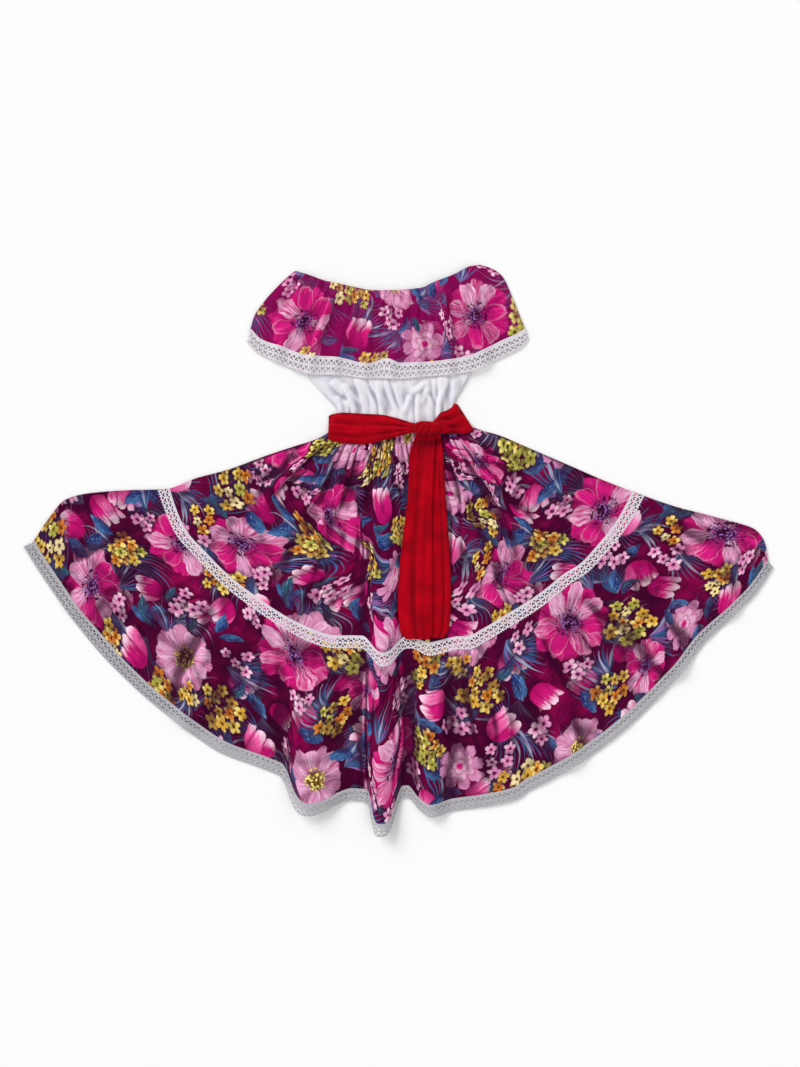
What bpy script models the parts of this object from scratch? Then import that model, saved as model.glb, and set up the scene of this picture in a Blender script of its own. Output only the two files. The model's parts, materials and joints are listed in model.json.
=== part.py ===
"""A folk dress laid flat, front up: a gathered off-shoulder flounce, a white bodice, a red sash and a
skirt of two fanned tiers, trimmed with lace. Every piece has its front and its back half.

Lengths are in millimetres until the meshes are made. The plan of the dress is drawn round the middle of
its waist, with +X to the right, +Y to the neck and +Z up from the surface that it lies on. A panel is a
grid of rows, from its neck side down, and of columns, from left to right."""

import math
from collections import namedtuple

import bpy
import numpy as np
from mathutils.bvhtree import BVHTree

MM = 0.001
COTTON = 1.2
LACE = 1.0
SASH = 1.8
SEAM_GAP = 0.3
LACE_WIDTH = 25.0
LACE_LAP = 5.0
LACE_DROP = LACE_WIDTH - LACE_LAP

# How high the underside of each layer lies: on the floor, over a strip of lace, and each front layer over
# what is below it.
OVER_LACE = LACE + SEAM_GAP
BACK_UNDER_FLOUNCE = 2.9
SIDE_SEAM = 1.7
FRONT_REST = 3.0
BODICE_REST = 4.6
FLOUNCE_REST = 7.2
FLOUNCE_NECK = 5.8
LACE_EDGE = 1.5
SASH_REST = 7.7
# The back flounce's edges lie this far inside the front's.
BACK_SMALLER = 3.0

WAIST_LENGTH = 256.0
TIER_LENGTH = 1098.0
HEM_LENGTH = 1830.0
BODICE_WIDTH = 290.0
BODICE_TOP = 332.0
BODICE_INSET = 17.0
BODICE_BELOW_NECK = 5.0
NECK_LENGTH = 358.0
FLOUNCE_LENGTH = 536.0

WAIST_GATHERS = 24
BODICE_GATHERS = 14
NECK_GATHERS = 24
GATHER_HEIGHT = 3.0
BODICE_GATHER_HEIGHT = 2.4
# How far along its panel a gather runs before it fades out, as a share of the panel's length.
WAIST_REACH = 0.5
BODICE_REACH = 0.42
NECK_REACH = 1.1
# How far in from a panel's side edge, as a share of its width, the edge draws its columns with it.
SIDE_REACH = 0.1
BODICE_SIDE_REACH = 0.15

# Angles are in degrees from the middle front, to the right, and radii start at the waist's middle.
Level = namedtuple("Level", "angle radius")
TIER_LINE = (
    Level(-75.2, 471), Level(-66, 470), Level(-57, 455), Level(-48, 445), Level(-39, 437), Level(-30, 435),
    Level(-20, 433), Level(-12, 420), Level(-4, 412), Level(3, 412), Level(8, 429), Level(13, 427),
    Level(20, 431), Level(30, 425), Level(38, 428), Level(47, 434), Level(53, 449), Level(58, 456),
    Level(65, 469), Level(72.9, 481),
)
HEM_LINE = (
    Level(-72.9, 765), Level(-66, 746), Level(-60, 734), Level(-54, 724), Level(-44, 717), Level(-37, 714),
    Level(-30, 717), Level(-22, 709), Level(-14, 713), Level(-7, 725), Level(-2, 718), Level(1.2, 714),
    Level(2.9, 737), Level(4.7, 752), Level(8.4, 747), Level(17.4, 752), Level(20, 744), Level(27.6, 736),
    Level(36.7, 728), Level(47, 722), Level(54, 721), Level(60.5, 740), Level(65.3, 760), Level(69.9, 772),
)
BACK_TIER_LINE = (
    Level(-75.2, 471), Level(-66, 462), Level(-48, 436), Level(-20, 418), Level(0, 404), Level(30, 415),
    Level(53, 438), Level(66, 462), Level(72.9, 481),
)
BACK_HEM_LINE = (
    Level(-72.9, 761), Level(-66, 742), Level(-55, 728), Level(-42, 712), Level(-30, 697), Level(-15, 690),
    Level(0, 692), Level(15, 704), Level(45, 706), Level(56, 716), Level(64, 742), Level(69.9, 770),
)

# Where a column of the front skirt starts on the waist and ends on the hem, as shares of their lengths,
# for its share of the tier seam. The columns lean so that they follow the folds.
Column = namedtuple("Column", "across waist hem")
LEANS = (
    Column(0, 0, 0), Column(0.126, 0.045, 0.150), Column(0.340, 0.250, 0.411), Column(0.479, 0.387, 0.4916),
    Column(0.558, 0.490, 0.541), Column(0.753, 0.840, 0.745), Column(0.809, 0.930, 0.803), Column(1, 1, 1),
)

# The skirt's side edges: how far down (1 is the tier seam, 2 the hem), then the left and the right place.
Side = namedtuple("Side", "along left_x left_y right_x right_y")
SKIRT_SIDES = (
    Side(0, -132, 0, 124, 14), Side(0.10, -160, -18, 158, -1), Side(0.25, -199, -30, 190, -10),
    Side(0.45, -265, -52, 259, -39), Side(0.65, -333, -77, 331, -70), Side(0.82, -393, -93, 393, -97),
    Side(1, -456, -115, 460, -123), Side(1.25, -530, -117, 532, -148), Side(1.50, -605, -123, 612, -169),
    Side(1.68, -648, -135, 690, -194), Side(1.85, -683, -175, 708, -222), Side(2, -712, -219, 713, -256),
)
BODICE_SIDES = (
    Side(0, -132, 0, 124, 14), Side(0.13, -121, 35, 104, 49), Side(0.25, -147, 68, 121, 84),
    Side(0.37, -174, 102, 136, 117), Side(0.46, -186, 128, 144, 140), Side(0.66, -163, 186, 127, 198),
    Side(0.84, -166, 238, 131, 248), Side(1, -186, 290, 146, 299),
)
FLOUNCE_SIDES = (
    Side(0, -203, 308, 155, 320), Side(0.16, -217, 297, 180, 312), Side(0.32, -236, 279, 199, 297),
    Side(0.55, -264, 248, 214, 266), Side(0.80, -283, 219, 231, 224), Side(1, -291, 190, 245, 188),
)

# A line across the garment, from its left end to its right one.
Place = namedtuple("Place", "x y")
WAIST_SEAM = (Place(-132, 0), Place(-80, 6), Place(-20, 4), Place(40, 0), Place(90, 6), Place(124, 14))
NECKLINE = (
    Place(-203, 308), Place(-171, 298), Place(-147, 289), Place(-124, 284), Place(-101, 279), Place(-78, 274),
    Place(-54, 270), Place(-8, 270), Place(16, 272), Place(39, 274), Place(62, 284), Place(85, 293),
    Place(109, 303), Place(132, 315), Place(155, 320),
)
FLOUNCE_HEM = (
    Place(-291, 190), Place(-271, 169), Place(-231, 155), Place(-182, 138), Place(-122, 134),
    Place(-64, 122), Place(-27, 132), Place(0, 123), Place(37, 124), Place(91, 128), Place(135, 136),
    Place(178, 155), Place(205, 168), Place(228, 178), Place(245, 188),
)
FLOUNCE_LACE_EDGE = (
    Place(-297, 169), Place(-277, 149), Place(-241, 132), Place(-202, 115), Place(-163, 105),
    Place(-122, 105), Place(-74, 99), Place(0, 97), Place(37, 101), Place(91, 105), Place(138, 112),
    Place(184, 134), Place(213, 147), Place(237, 161), Place(249, 178),
)
FLOUNCE_LEANS = (Place(0, 0), Place(0.226, 0.22), Place(0.66, 0.605), Place(0.77, 0.726), Place(1, 1))

# A large fold runs down its column: where it is across, where it starts and ends, its height and its reach
# to either side, and how far it carries the tier seam and the hem outwards.
Fold = namedtuple("Fold", "across start end height left right tier_drop hem_drop")
SKIRT_FOLDS = (
    Fold(0.126, 0.02, 0.66, 8, 22, 30, 0, 0),
    Fold(0.220, 0.10, 0.90, 4, 34, 28, 0, 0),
    Fold(0.300, 0.05, 1.10, 5, 24, 22, 0, 0),
    Fold(0.390, -1.0, 0.92, 5, 20, 18, 0, 0),
    Fold(0.479, 0.05, 3.0, 17, 46, 46, 33, 0),
    Fold(0.340, 1.05, 3.0, 16, 70, 92, 0, 55),
    Fold(0.558, 1.02, 3.0, 11, 34, 46, 0, 0),
    Fold(0.631, 1.00, 1.8, 6, 24, 30, 4, 0),
    Fold(0.700, 0.30, 1.10, 5, 30, 24, 0, 0),
    Fold(0.753, 0.03, 0.85, 7, 26, 20, 0, 0),
    Fold(0.809, 0.02, 0.80, 9, 24, 28, 0, 0),
    Fold(0.070, 1.05, 2.1, 5, 40, 36, 0, 0),
    Fold(0.205, 1.10, 3.0, 6, 42, 50, 0, 0),
    Fold(0.715, 1.15, 3.0, 5, 46, 38, 0, 0),
    Fold(0.860, 1.05, 3.0, 6, 40, 52, 0, 0),
    Fold(0.940, 1.10, 2.2, 4, 34, 30, 0, 0),
)
# The highest fold ends in a tongue that hangs out past the hem, and its reach there to its left and right.
Tongue = namedtuple("Tongue", "across out left right")
TONGUE = Tongue(across=0.479, out=67, left=32, right=40)
FLOUNCE_FOLDS = (
    Fold(0.10, 0.25, 3, 4, 20, 24, 0, 0),
    Fold(0.226, -1, 3, 5, 16, 20, 0, 0),
    Fold(0.33, 0.3, 3, 4, 22, 18, 0, 0),
    Fold(0.45, 0.45, 3, 4, 20, 22, 0, 0),
    Fold(0.56, 0.35, 3, 3, 18, 20, 0, 0),
    Fold(0.66, -1, 3, 4, 14, 18, 0, 0),
    Fold(0.765, -1, 3, 6, 15, 18, 0, 0),
    Fold(0.875, 0.2, 3, 5, 20, 18, 0, 0),
)
BODICE_FOLDS = (
    Fold(0.16, -1, 0.6, 4, 9, 12, 0, 0),
    Fold(0.38, -1, 0.7, 3, 8, 10, 0, 0),
    Fold(0.66, -1, 0.7, 3, 10, 8, 0, 0),
    Fold(0.84, -1, 0.6, 4, 12, 9, 0, 0),
)
# From this share of the way up from the waist, the bodice's folds flatten out under the flounce.
BODICE_FOLDS_END = 0.2
BODICE_FOLDS_FADE = 0.12
# A fold rises to its full height, and falls from it, over this share of its panel.
FOLD_FADE = 0.25

# The front skirt's columns are at most this wide at the hem, and narrower on its sharp folds. The stretches
# are shares of the tier seam.
WIDEST_COLUMN = 34.0
Stretch = namedtuple("Stretch", "start end widest")
SHARP_FOLDS = (Stretch(0.29, 0.40, 17.0), Stretch(0.443, 0.515, 7.5), Stretch(0.53, 0.58, 17.0))

SKIRT_ROWS = (0, 0.07, 0.18, 0.38, 0.66, 0.97, 1, 1.045, 1.30, 1.68, 1.982, 2)
TIER_ROW = SKIRT_ROWS.index(1)
# Folds reach this far down the lace, which hangs past the panel's last row.
HEM_LACE_ROW = 2.1
FLOUNCE_LACE_ROW = 1.1
# How high the side edges lie at each of these rows: they drop to the back's edges between the trims.
SKIRT_EDGE_HEIGHTS = (3, 3, SIDE_SEAM, SIDE_SEAM, SIDE_SEAM, 3, 3, 3, SIDE_SEAM, SIDE_SEAM, 3, 3)

# The back skirt's rows and how high its underside lies there: it rests on the floor between the trims.
Rise = namedtuple("Rise", "along height")
BACK_SKIRT_RISES = (
    Rise(0, OVER_LACE), Rise(0.07, OVER_LACE), Rise(0.12, 0), Rise(0.5, 0), Rise(0.93, 0),
    Rise(0.965, OVER_LACE), Rise(1, OVER_LACE), Rise(1.05, OVER_LACE), Rise(1.09, 0), Rise(1.5, 0),
    Rise(1.68, 0), Rise(1.87, 0), Rise(1.93, OVER_LACE), Rise(2, OVER_LACE),
)
BACK_TIER_ROW = 6
BACK_BODICE_RISES = (
    Rise(0, OVER_LACE), Rise(0.13, OVER_LACE), Rise(0.24, OVER_LACE), Rise(0.31, BACK_UNDER_FLOUNCE),
    Rise(0.46, BACK_UNDER_FLOUNCE), Rise(0.66, BACK_UNDER_FLOUNCE), Rise(0.9, BACK_UNDER_FLOUNCE),
    Rise(1, COTTON + SEAM_GAP),
)
FRONT_BODICE_RISES = (
    Rise(0, FRONT_REST), Rise(0.07, FRONT_REST), Rise(0.15, FRONT_REST), Rise(0.24, FRONT_REST),
    Rise(0.31, BODICE_REST), Rise(0.46, BODICE_REST), Rise(0.66, BODICE_REST), Rise(0.9, BODICE_REST),
    Rise(1, 3.2),
)
FLOUNCE_ROWS = (0, 0.12, 0.35, 0.65, 0.955, 1)
BACK_FLOUNCE_ROWS = (0, 0.35, 0.65, 0.86, 0.93, 1)

# Where the flounce lies over the bodice, as shares of its width at the neck, how far either side of that
# draws in by the flounce's lower edge, and how wide the step up onto the bodice is.
Covering = namedtuple("Covering", "start end left_in right_in step")
OVER_BODICE = Covering(start=0.005, end=0.995, left_in=0.13, right_in=0.10, step=0.05)

# The sash's outline: its top and bottom edge, from the left end to the knot and from the knot on.
Band = namedtuple("Band", "top_x top_y low_x low_y")
LEFT_BAND = (
    Band(-138, 27, -139, -17), Band(-134, 29, -135, -20), Band(-126, 31, -127, -22),
    Band(-107, 33, -108, -26), Band(-76, 31, -72, -29), Band(-37, 29, -30, -20), Band(-8, 23, -4, -13),
    Band(24, 13, 24, -6),
)
LEFT_BAND_COLUMNS = 22
RIGHT_BAND = (
    Band(79, 31, 79, -5), Band(90, 37, 96, -8), Band(102, 46, 120, -7), Band(106, 48, 132, -4),
    Band(110, 49, 140, -1), Band(112, 50, 143, 1),
)
RIGHT_BAND_COLUMNS = 14
BACK_BAND = (
    Band(-138, 27, -139, -13), Band(-80, 34, -80, -16), Band(20, 32, 20, -16), Band(90, 42, 110, -10),
    Band(112, 50, 143, 1),
)
# The tails' side edges, down from the knot.
Tail = namedtuple("Tail", "left right y")
OVER_TAIL = (
    Tail(30, 68, -13), Tail(18, 66, -50), Tail(16, 63, -110), Tail(9, 62, -180), Tail(-1, 63, -270),
    Tail(-4, 63, -340), Tail(1, 62, -392), Tail(12, 58, -405),
)
UNDER_TAIL = (
    Tail(56, 79, -13), Tail(52, 84, -50), Tail(50, 87, -110), Tail(50, 92, -180), Tail(50, 97, -250),
    Tail(50, 99, -326), Tail(50, 95, -384), Tail(54, 86, -403),
)
# How high the sash's creases stand, across it from edge to edge.
BAND_CREASES = (0.0, 1.6, 0.4, 1.9, 0.3, 0.0)
UNDER_TAIL_CREASES = (0.0, 0.5, 1.8, 0.6, 1.6, 0.0)
OVER_TAIL_CREASES = (0.0, 1.2, 0.3, 2.0, 0.5, 1.6, 0.0)
# Where less than this lies below the sash, it runs past the dress, and comes down to its edge's height.
PAST_THE_DRESS = 1.0
SASH_EDGE = 1.5
TAIL_GAP = 0.4
TAIL_ROWS = 15
# How much higher a tail may lie for each millimetre further from the knot.
TAIL_RISE = 0.02
KNOT_CENTRE = (51.5, 2.0)
KNOT_SIZE = (51.0, 28.0, 20.0)
KNOT_REST = 8.2
# The knot's three lobes stand out by this share, and its sides are fuller than a ball's.
KNOT_LOBES = 3
KNOT_LOBE = 0.07
KNOT_FULLNESS = 0.75
CLOTH_ROUGHNESS = 0.85

FLORAL = (0.22, 0.015, 0.085, 1)
WHITE = (0.82, 0.83, 0.86, 1)
TRIM = (0.62, 0.62, 0.67, 1)
RED = (0.5, 0.003, 0.008, 1)


def table(rows, *names):
    """The named columns of a table, as arrays."""
    return [np.array([getattr(row, name) for row in rows], float) for name in names]


def smooth_step(share):
    share = np.clip(share, 0, 1)
    return share * share * (3 - 2 * share)


def curve(at, places, values):
    """A smooth curve through the values at the places, which nowhere overshoots them."""
    steps = np.diff(places)
    slopes = np.diff(values) / steps
    same_way = slopes[:-1] * slopes[1:] > 0
    total = np.where(same_way, slopes[:-1] + slopes[1:], 1)
    middle = np.where(same_way, 2 * slopes[:-1] * slopes[1:] / total, 0)
    tangents = np.concatenate([slopes[:1], middle, slopes[-1:]])
    piece = np.clip(np.searchsorted(places, at, side="right") - 1, 0, len(steps) - 1)
    step = steps[piece]
    share = (at - places[piece]) / step
    rest = 1 - share
    start = (1 + 2 * share) * rest**2 * values[piece] + share * rest**2 * step * tangents[piece]
    end = share**2 * (3 - 2 * share) * values[piece + 1] - share**2 * rest * step * tangents[piece + 1]
    return start + end


def line_across(across, places):
    """Points at these shares of a line's width."""
    x, y = table(places, "x", "y")
    at = x[0] + across * (x[-1] - x[0])
    return np.stack([at, curve(at, x, y)], -1)


def ring_across(across, levels, outwards=0.0):
    """Points at these shares of a ring's angle, moved outwards."""
    angle, radius = table(levels, "angle", "radius")
    at = angle[0] + across * (angle[-1] - angle[0])
    out = curve(at, angle, radius) + outwards
    turn = np.radians(at)
    return np.stack([out * np.sin(turn), -out * np.cos(turn)], -1)


def lean_of(across, to):
    start, end = table(LEANS, "across", to)
    return curve(across, start, end)


def between(start, end, share):
    return start + (end - start) * share


def ruled(top, bottom, shares):
    """Rows of straight columns from one line to another."""
    return between(top[None], bottom[None], np.asarray(shares, float)[:, None, None])


def with_sides(plan, sides, along, across, reach):
    """The plan with its two side edges moved onto the real ones, and the columns near them with it."""
    rows = np.asarray(along, float)
    for name, column, inwards in (("left", 0, across), ("right", -1, 1 - across)):
        places, x, y = table(sides, "along", f"{name}_x", f"{name}_y")
        wanted = np.stack([curve(rows, places, x), curve(rows, places, y)], -1)
        shift = wanted - plan[:, column]
        plan = plan + shift[:, None] * np.exp(-inwards / reach)[None, :, None]
        plan[:, column] = wanted
    return plan


def rounded_ridge(distance, left, right):
    """1 on the ridge and 0 past its reach to the left or to the right."""
    share = np.clip(np.where(distance < 0, -distance / left, distance / right), 0, 1)
    return np.cos(share * math.pi / 2) ** 2


def fold_heights(folds, place, across, along, growth):
    """The height of every large fold at each point. `place` gives how far along its row a share lies."""
    height = np.zeros((len(along), len(across)))
    rows = np.asarray(along, float)[:, None]
    for fold in folds:
        distance = place(across[None], rows) - place(np.array([[fold.across]]), rows)
        shown = smooth_step((rows - fold.start) / FOLD_FADE) * smooth_step((fold.end - rows) / FOLD_FADE)
        height += fold.height * growth(rows) * shown * rounded_ridge(distance, fold.left, fold.right)
    return height


def gathers(across, along, count, height, reach):
    """The height of fine gathers, each with a height and a length of its own."""
    number = np.floor(np.clip(across, 0, 1 - 1e-9) * count)
    ridge = np.sin(math.pi * (across * count - number)) ** 2
    uneven = 0.72 + 0.28 * np.sin(2.4 * number)
    length = reach * (0.8 + 0.4 * np.sin(1.7 * number + 1))
    fade = 1 - smooth_step(np.asarray(along, float)[:, None] / length[None])
    return height * (uneven * ridge)[None] * fade


def gather_columns(count):
    """Three columns for each gather, one of them on its ridge, and the two edges."""
    return np.concatenate([[0], (np.arange(3 * count) + 0.5) / (3 * count), [1]])


def skirt_columns():
    """The front skirt's columns, as shares of the tier seam: closer together where a fold is sharp."""
    start, waist = table(LEANS, "across", "waist")
    found = list(np.interp(gather_columns(WAIST_GATHERS), waist, start))
    split = []
    for left, right in zip(found[:-1], found[1:]):
        middle = (left + right) / 2
        width = HEM_LENGTH * (lean_of(np.array([right]), "hem") - lean_of(np.array([left]), "hem"))[0]
        sharp = [stretch.widest for stretch in SHARP_FOLDS if stretch.start < middle < stretch.end]
        parts = max(1, math.ceil(width / min([WIDEST_COLUMN, *sharp])))
        split += [between(left, right, part / parts) for part in range(parts)]
    return np.array(split + [1.0])


def folded(across, shares_of, drop, length):
    """How far the folds carry a level line outwards."""
    out = np.zeros(len(across))
    for fold in SKIRT_FOLDS:
        distance = (shares_of(across) - shares_of(np.array([fold.across]))) * length
        out += getattr(fold, drop) * rounded_ridge(distance, fold.left, fold.right)
    return out


def hem_drops(across):
    """How far the folds and the tongue carry the hem outwards. The tongue has steep sides and a full tip."""
    out = folded(across, lambda share: lean_of(share, "hem"), "hem_drop", HEM_LENGTH)
    distance = (lean_of(across, "hem") - lean_of(np.array([TONGUE.across]), "hem")) * HEM_LENGTH
    return out + TONGUE.out * np.sin(math.pi / 2 * rounded_ridge(distance, TONGUE.left, TONGUE.right))


def skirt_place(across, along):
    """How far along its row a column of the skirt lies, from the left."""
    waist = WAIST_LENGTH * lean_of(across, "waist")
    tier = TIER_LENGTH * across
    hem = HEM_LENGTH * lean_of(across, "hem")
    return np.where(along < 1, between(waist, tier, along), between(tier, hem, np.maximum(along, 1) - 1))


def skirt_growth(along):
    """Folds stand a little higher the further they are from the waist."""
    return 0.75 + 0.25 * along


def front_skirt(across, along):
    """The underside of the front skirt, both tiers, and the outer edge of its hem lace."""
    along = np.asarray(along, float)
    tier_drop = folded(across, lambda share: share, "tier_drop", TIER_LENGTH)
    hem_drop = hem_drops(across)
    waist = line_across(lean_of(across, "waist"), WAIST_SEAM)
    tier = ring_across(across, TIER_LINE, tier_drop)
    hem = ring_across(lean_of(across, "hem"), HEM_LINE, hem_drop - LACE_DROP)
    edge = ring_across(lean_of(across, "hem"), HEM_LINE, hem_drop)
    upper = ruled(waist, tier, along[along <= 1])
    lower = ruled(tier, hem, along[along > 1] - 1)
    plan = with_sides(np.concatenate([upper, lower]), SKIRT_SIDES, along, across, SIDE_REACH)
    height = FRONT_REST + gathers(lean_of(across, "waist"), along, WAIST_GATHERS, GATHER_HEIGHT, WAIST_REACH)
    height += fold_heights(SKIRT_FOLDS, skirt_place, across, along, skirt_growth)
    height[:, 0] = height[:, -1] = np.interp(along, SKIRT_ROWS, SKIRT_EDGE_HEIGHTS)
    low = fold_heights(SKIRT_FOLDS, skirt_place, across, [HEM_LACE_ROW], skirt_growth)[0]
    low[[0, -1]] = 0
    return (
        np.dstack([plan, height]),
        np.column_stack([edge, LACE_EDGE + low]),
    )


def back_skirt(across):
    """The underside of the back skirt, both tiers, and the outer edge of its hem lace."""
    along, rise = table(BACK_SKIRT_RISES, "along", "height")
    waist = line_across(across, WAIST_SEAM)
    tier = ring_across(across, BACK_TIER_LINE)
    hem = ring_across(across, BACK_HEM_LINE, -LACE_DROP)
    plan = np.concatenate([ruled(waist, tier, along[along <= 1]), ruled(tier, hem, along[along > 1] - 1)])
    plan = with_sides(plan, SKIRT_SIDES, along, across, SIDE_REACH)
    height = np.repeat(rise[:, None], len(across), 1)
    return np.dstack([plan, height]), ring_across(across, BACK_HEM_LINE)


def bodice_place(across, along):
    return np.broadcast_to(BODICE_WIDTH * across, np.broadcast_shapes(across.shape, along.shape))


def steady(along):
    """Folds stand equally high all the way down."""
    return np.ones_like(along)


def bodice(across, rises, gathered):
    """The underside of one half of the bodice."""
    along, rise = table(rises, "along", "height")
    top = line_across((across * BODICE_TOP + BODICE_INSET) / NECK_LENGTH, NECKLINE) - [0, BODICE_BELOW_NECK]
    plan = ruled(line_across(across, WAIST_SEAM) + [0, 2 * SEAM_GAP], top, along)
    plan = with_sides(plan, BODICE_SIDES, along, across, BODICE_SIDE_REACH)
    height = np.repeat(rise[:, None], len(across), 1)
    if gathered:
        inner = np.ones(len(across))
        inner[[0, -1]] = 0
        height += gathers(across, along, BODICE_GATHERS, BODICE_GATHER_HEIGHT, BODICE_REACH) * inner
        folds = fold_heights(BODICE_FOLDS, bodice_place, across, along, steady)
        height += folds * inner * (1 - smooth_step((along - BODICE_FOLDS_END) / BODICE_FOLDS_FADE))[:, None]
        height[:, 0] = height[:, -1] = np.where(along < BODICE_FOLDS_END, FRONT_REST, rise)
    # Rows run from the neck side down, as in every other panel.
    return np.dstack([plan, height])[::-1]


def flounce_plan(across, smaller):
    low = curve(across, *table(FLOUNCE_LEANS, "x", "y"))
    top = line_across(across, NECKLINE) - [0, smaller]
    bottom = line_across(low, FLOUNCE_HEM) + [0, smaller]
    edge = line_across(low, FLOUNCE_LACE_EDGE) + [0, smaller]
    return top, bottom, edge


def over_bodice(across, along):
    """1 where the flounce lies over the bodice and 0 outside it."""
    left = OVER_BODICE.start + OVER_BODICE.left_in * along
    right = OVER_BODICE.end - OVER_BODICE.right_in * along
    return smooth_step((across - left) / OVER_BODICE.step) * smooth_step((right - across) / OVER_BODICE.step)


def flounce_place(across, along):
    return between(NECK_LENGTH, FLOUNCE_LENGTH, along) * across


def flounce_growth(along):
    """Folds stand a little higher the further they are from the neck."""
    return 0.7 + 0.3 * along


def front_flounce(across):
    """The underside of the front flounce and the outer edge of its lace."""
    along = np.array(FLOUNCE_ROWS)
    top, bottom, edge = flounce_plan(across, 0)
    plan = with_sides(ruled(top, bottom, along), FLOUNCE_SIDES, along, across, SIDE_REACH)
    cover = over_bodice(across[None], along[:, None])
    over = np.full((len(along), 1), FLOUNCE_REST)
    over[0] = FLOUNCE_NECK
    height = FRONT_REST + (over - FRONT_REST) * cover
    height += gathers(across, along, NECK_GATHERS, GATHER_HEIGHT, NECK_REACH)
    height += fold_heights(FLOUNCE_FOLDS, flounce_place, across, along, flounce_growth)
    height[:, 0] = height[:, -1] = np.where(along < FLOUNCE_ROWS[-2], SIDE_SEAM, FRONT_REST)
    low = LACE_EDGE + (FLOUNCE_REST - LACE_EDGE) * over_bodice(across, 1.0)
    low += fold_heights(FLOUNCE_FOLDS, flounce_place, across, [FLOUNCE_LACE_ROW], steady)[0]
    low[[0, -1]] = LACE_EDGE
    return np.dstack([plan, height]), np.column_stack([edge, low])


def back_flounce(across):
    """The underside of the back flounce, which steps up over its lace, and the outer edge of that lace."""
    along = np.array(BACK_FLOUNCE_ROWS)
    top, bottom, edge = flounce_plan(across, BACK_SMALLER)
    plan = with_sides(ruled(top, bottom, along), FLOUNCE_SIDES, along, across, SIDE_REACH)
    height = np.repeat(np.where(along >= BACK_FLOUNCE_ROWS[-2], OVER_LACE, 0)[:, None], len(across), 1)
    return np.dstack([plan, height]), edge


def outwards(points):
    """The direction that faces up and out of each point of a grid."""
    down = np.gradient(points, axis=0)
    right = np.gradient(points, axis=1)
    out = np.cross(down, right)
    return out / np.linalg.norm(out, axis=2, keepdims=True)


def upright(facing, row):
    """The same directions, but straight up along one row, where another panel meets it."""
    facing = facing.copy()
    facing[row] = (0, 0, 1)
    return facing


def wall(points, thickness, facing=None):
    """A panel's underside and its top."""
    facing = outwards(points) if facing is None else facing
    return points, points + facing * thickness


def parted(points, row, way):
    """The points with one of their end rows drawn back by half a seam gap."""
    points = points.copy()
    along = points[row + way] - points[row]
    points[row] += along / np.linalg.norm(along, axis=1, keepdims=True) * SEAM_GAP / 2
    return points


def trim(grid, facing, rows):
    """Lace over some rows of a panel, made from the panel's own points and moved out."""
    under = grid[rows] + facing[rows] * (COTTON + SEAM_GAP)
    return under, under + facing[rows] * LACE


def edge_trim(grid, facing, edge):
    """Lace that laps over a panel's last two rows and hangs past them to its own edge."""
    lap = grid[-2:] + facing[-2:] * (COTTON + SEAM_GAP)
    under = np.concatenate([lap, edge[None]])
    return wall(under, LACE)


def lapped(line, inner):
    """The line moved in under a panel by the lap of its lace."""
    way = inner - line
    return line + way / np.linalg.norm(way, axis=1, keepdims=True) * LACE_LAP


def flat_strip(top, bottom):
    """A strip that lies on the floor."""
    plan = ruled(top, bottom, (0, 1))
    under = np.dstack([plan, np.zeros(plan.shape[:2])])
    return under, under + [0, 0, LACE]


def triangles(rows, columns):
    """The triangles of a grid, facing up."""
    corner = np.arange(rows * columns).reshape(rows, columns)
    a, b, c, d = corner[:-1, :-1], corner[1:, :-1], corner[1:, 1:], corner[:-1, 1:]
    return np.concatenate([np.stack([a, b, c], -1).reshape(-1, 3), np.stack([a, c, d], -1).reshape(-1, 3)])


def border(rows, columns):
    """The corners round a grid, counterclockwise seen from above."""
    corner = np.arange(rows * columns).reshape(rows, columns)
    round_it = [corner[:-1, 0], corner[-1, :-1], corner[:0:-1, -1], corner[0, :0:-1]]
    return np.concatenate(round_it)


def closed_sheet(under, over):
    """The points and triangles of the solid between two grids."""
    rows, columns = under.shape[:2]
    count = rows * columns
    face = triangles(rows, columns)
    ring = border(rows, columns)
    following = np.roll(ring, -1)
    sides = np.concatenate(
        [
            np.stack([ring, following, following + count], -1),
            np.stack([ring, following + count, ring + count], -1),
        ]
    )
    points = np.concatenate([under.reshape(-1, 3), over.reshape(-1, 3)])
    return points, np.concatenate([face[:, ::-1], face + count, sides])


class Below:
    """What lies under the sash: it gives how high the pieces below reach."""

    def __init__(self, sheets):
        points, faces, first = [], [], 0
        for under, over in sheets:
            own, own_faces = closed_sheet(under, over)
            points.append(own)
            faces.append(own_faces + first)
            first += len(own)
        self.tree = BVHTree.FromPolygons(np.concatenate(points).tolist(), np.concatenate(faces).tolist())

    def height(self, x, y):
        hit = self.tree.ray_cast((x, y, 200.0), (0, 0, -1))[0]
        return hit.z if hit else 0.0

    def cleared(self, plan, gap, samples=5):
        """A height for each point of a plan such that the cells round it clear what is below."""
        rows, columns = plan.shape[:2]
        height = np.zeros((rows, columns))
        shares = np.linspace(0, 1, samples)
        for row in range(rows - 1):
            for column in range(columns - 1):
                a, b = plan[row, column], plan[row, column + 1]
                c, d = plan[row + 1, column], plan[row + 1, column + 1]
                highest = 0.0
                for down in shares:
                    for right in shares:
                        at = between(between(a, b, right), between(c, d, right), down)
                        highest = max(highest, self.height(*at))
                cell = height[row : row + 2, column : column + 2]
                np.maximum(cell, highest + gap, out=cell)
        return height


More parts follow.
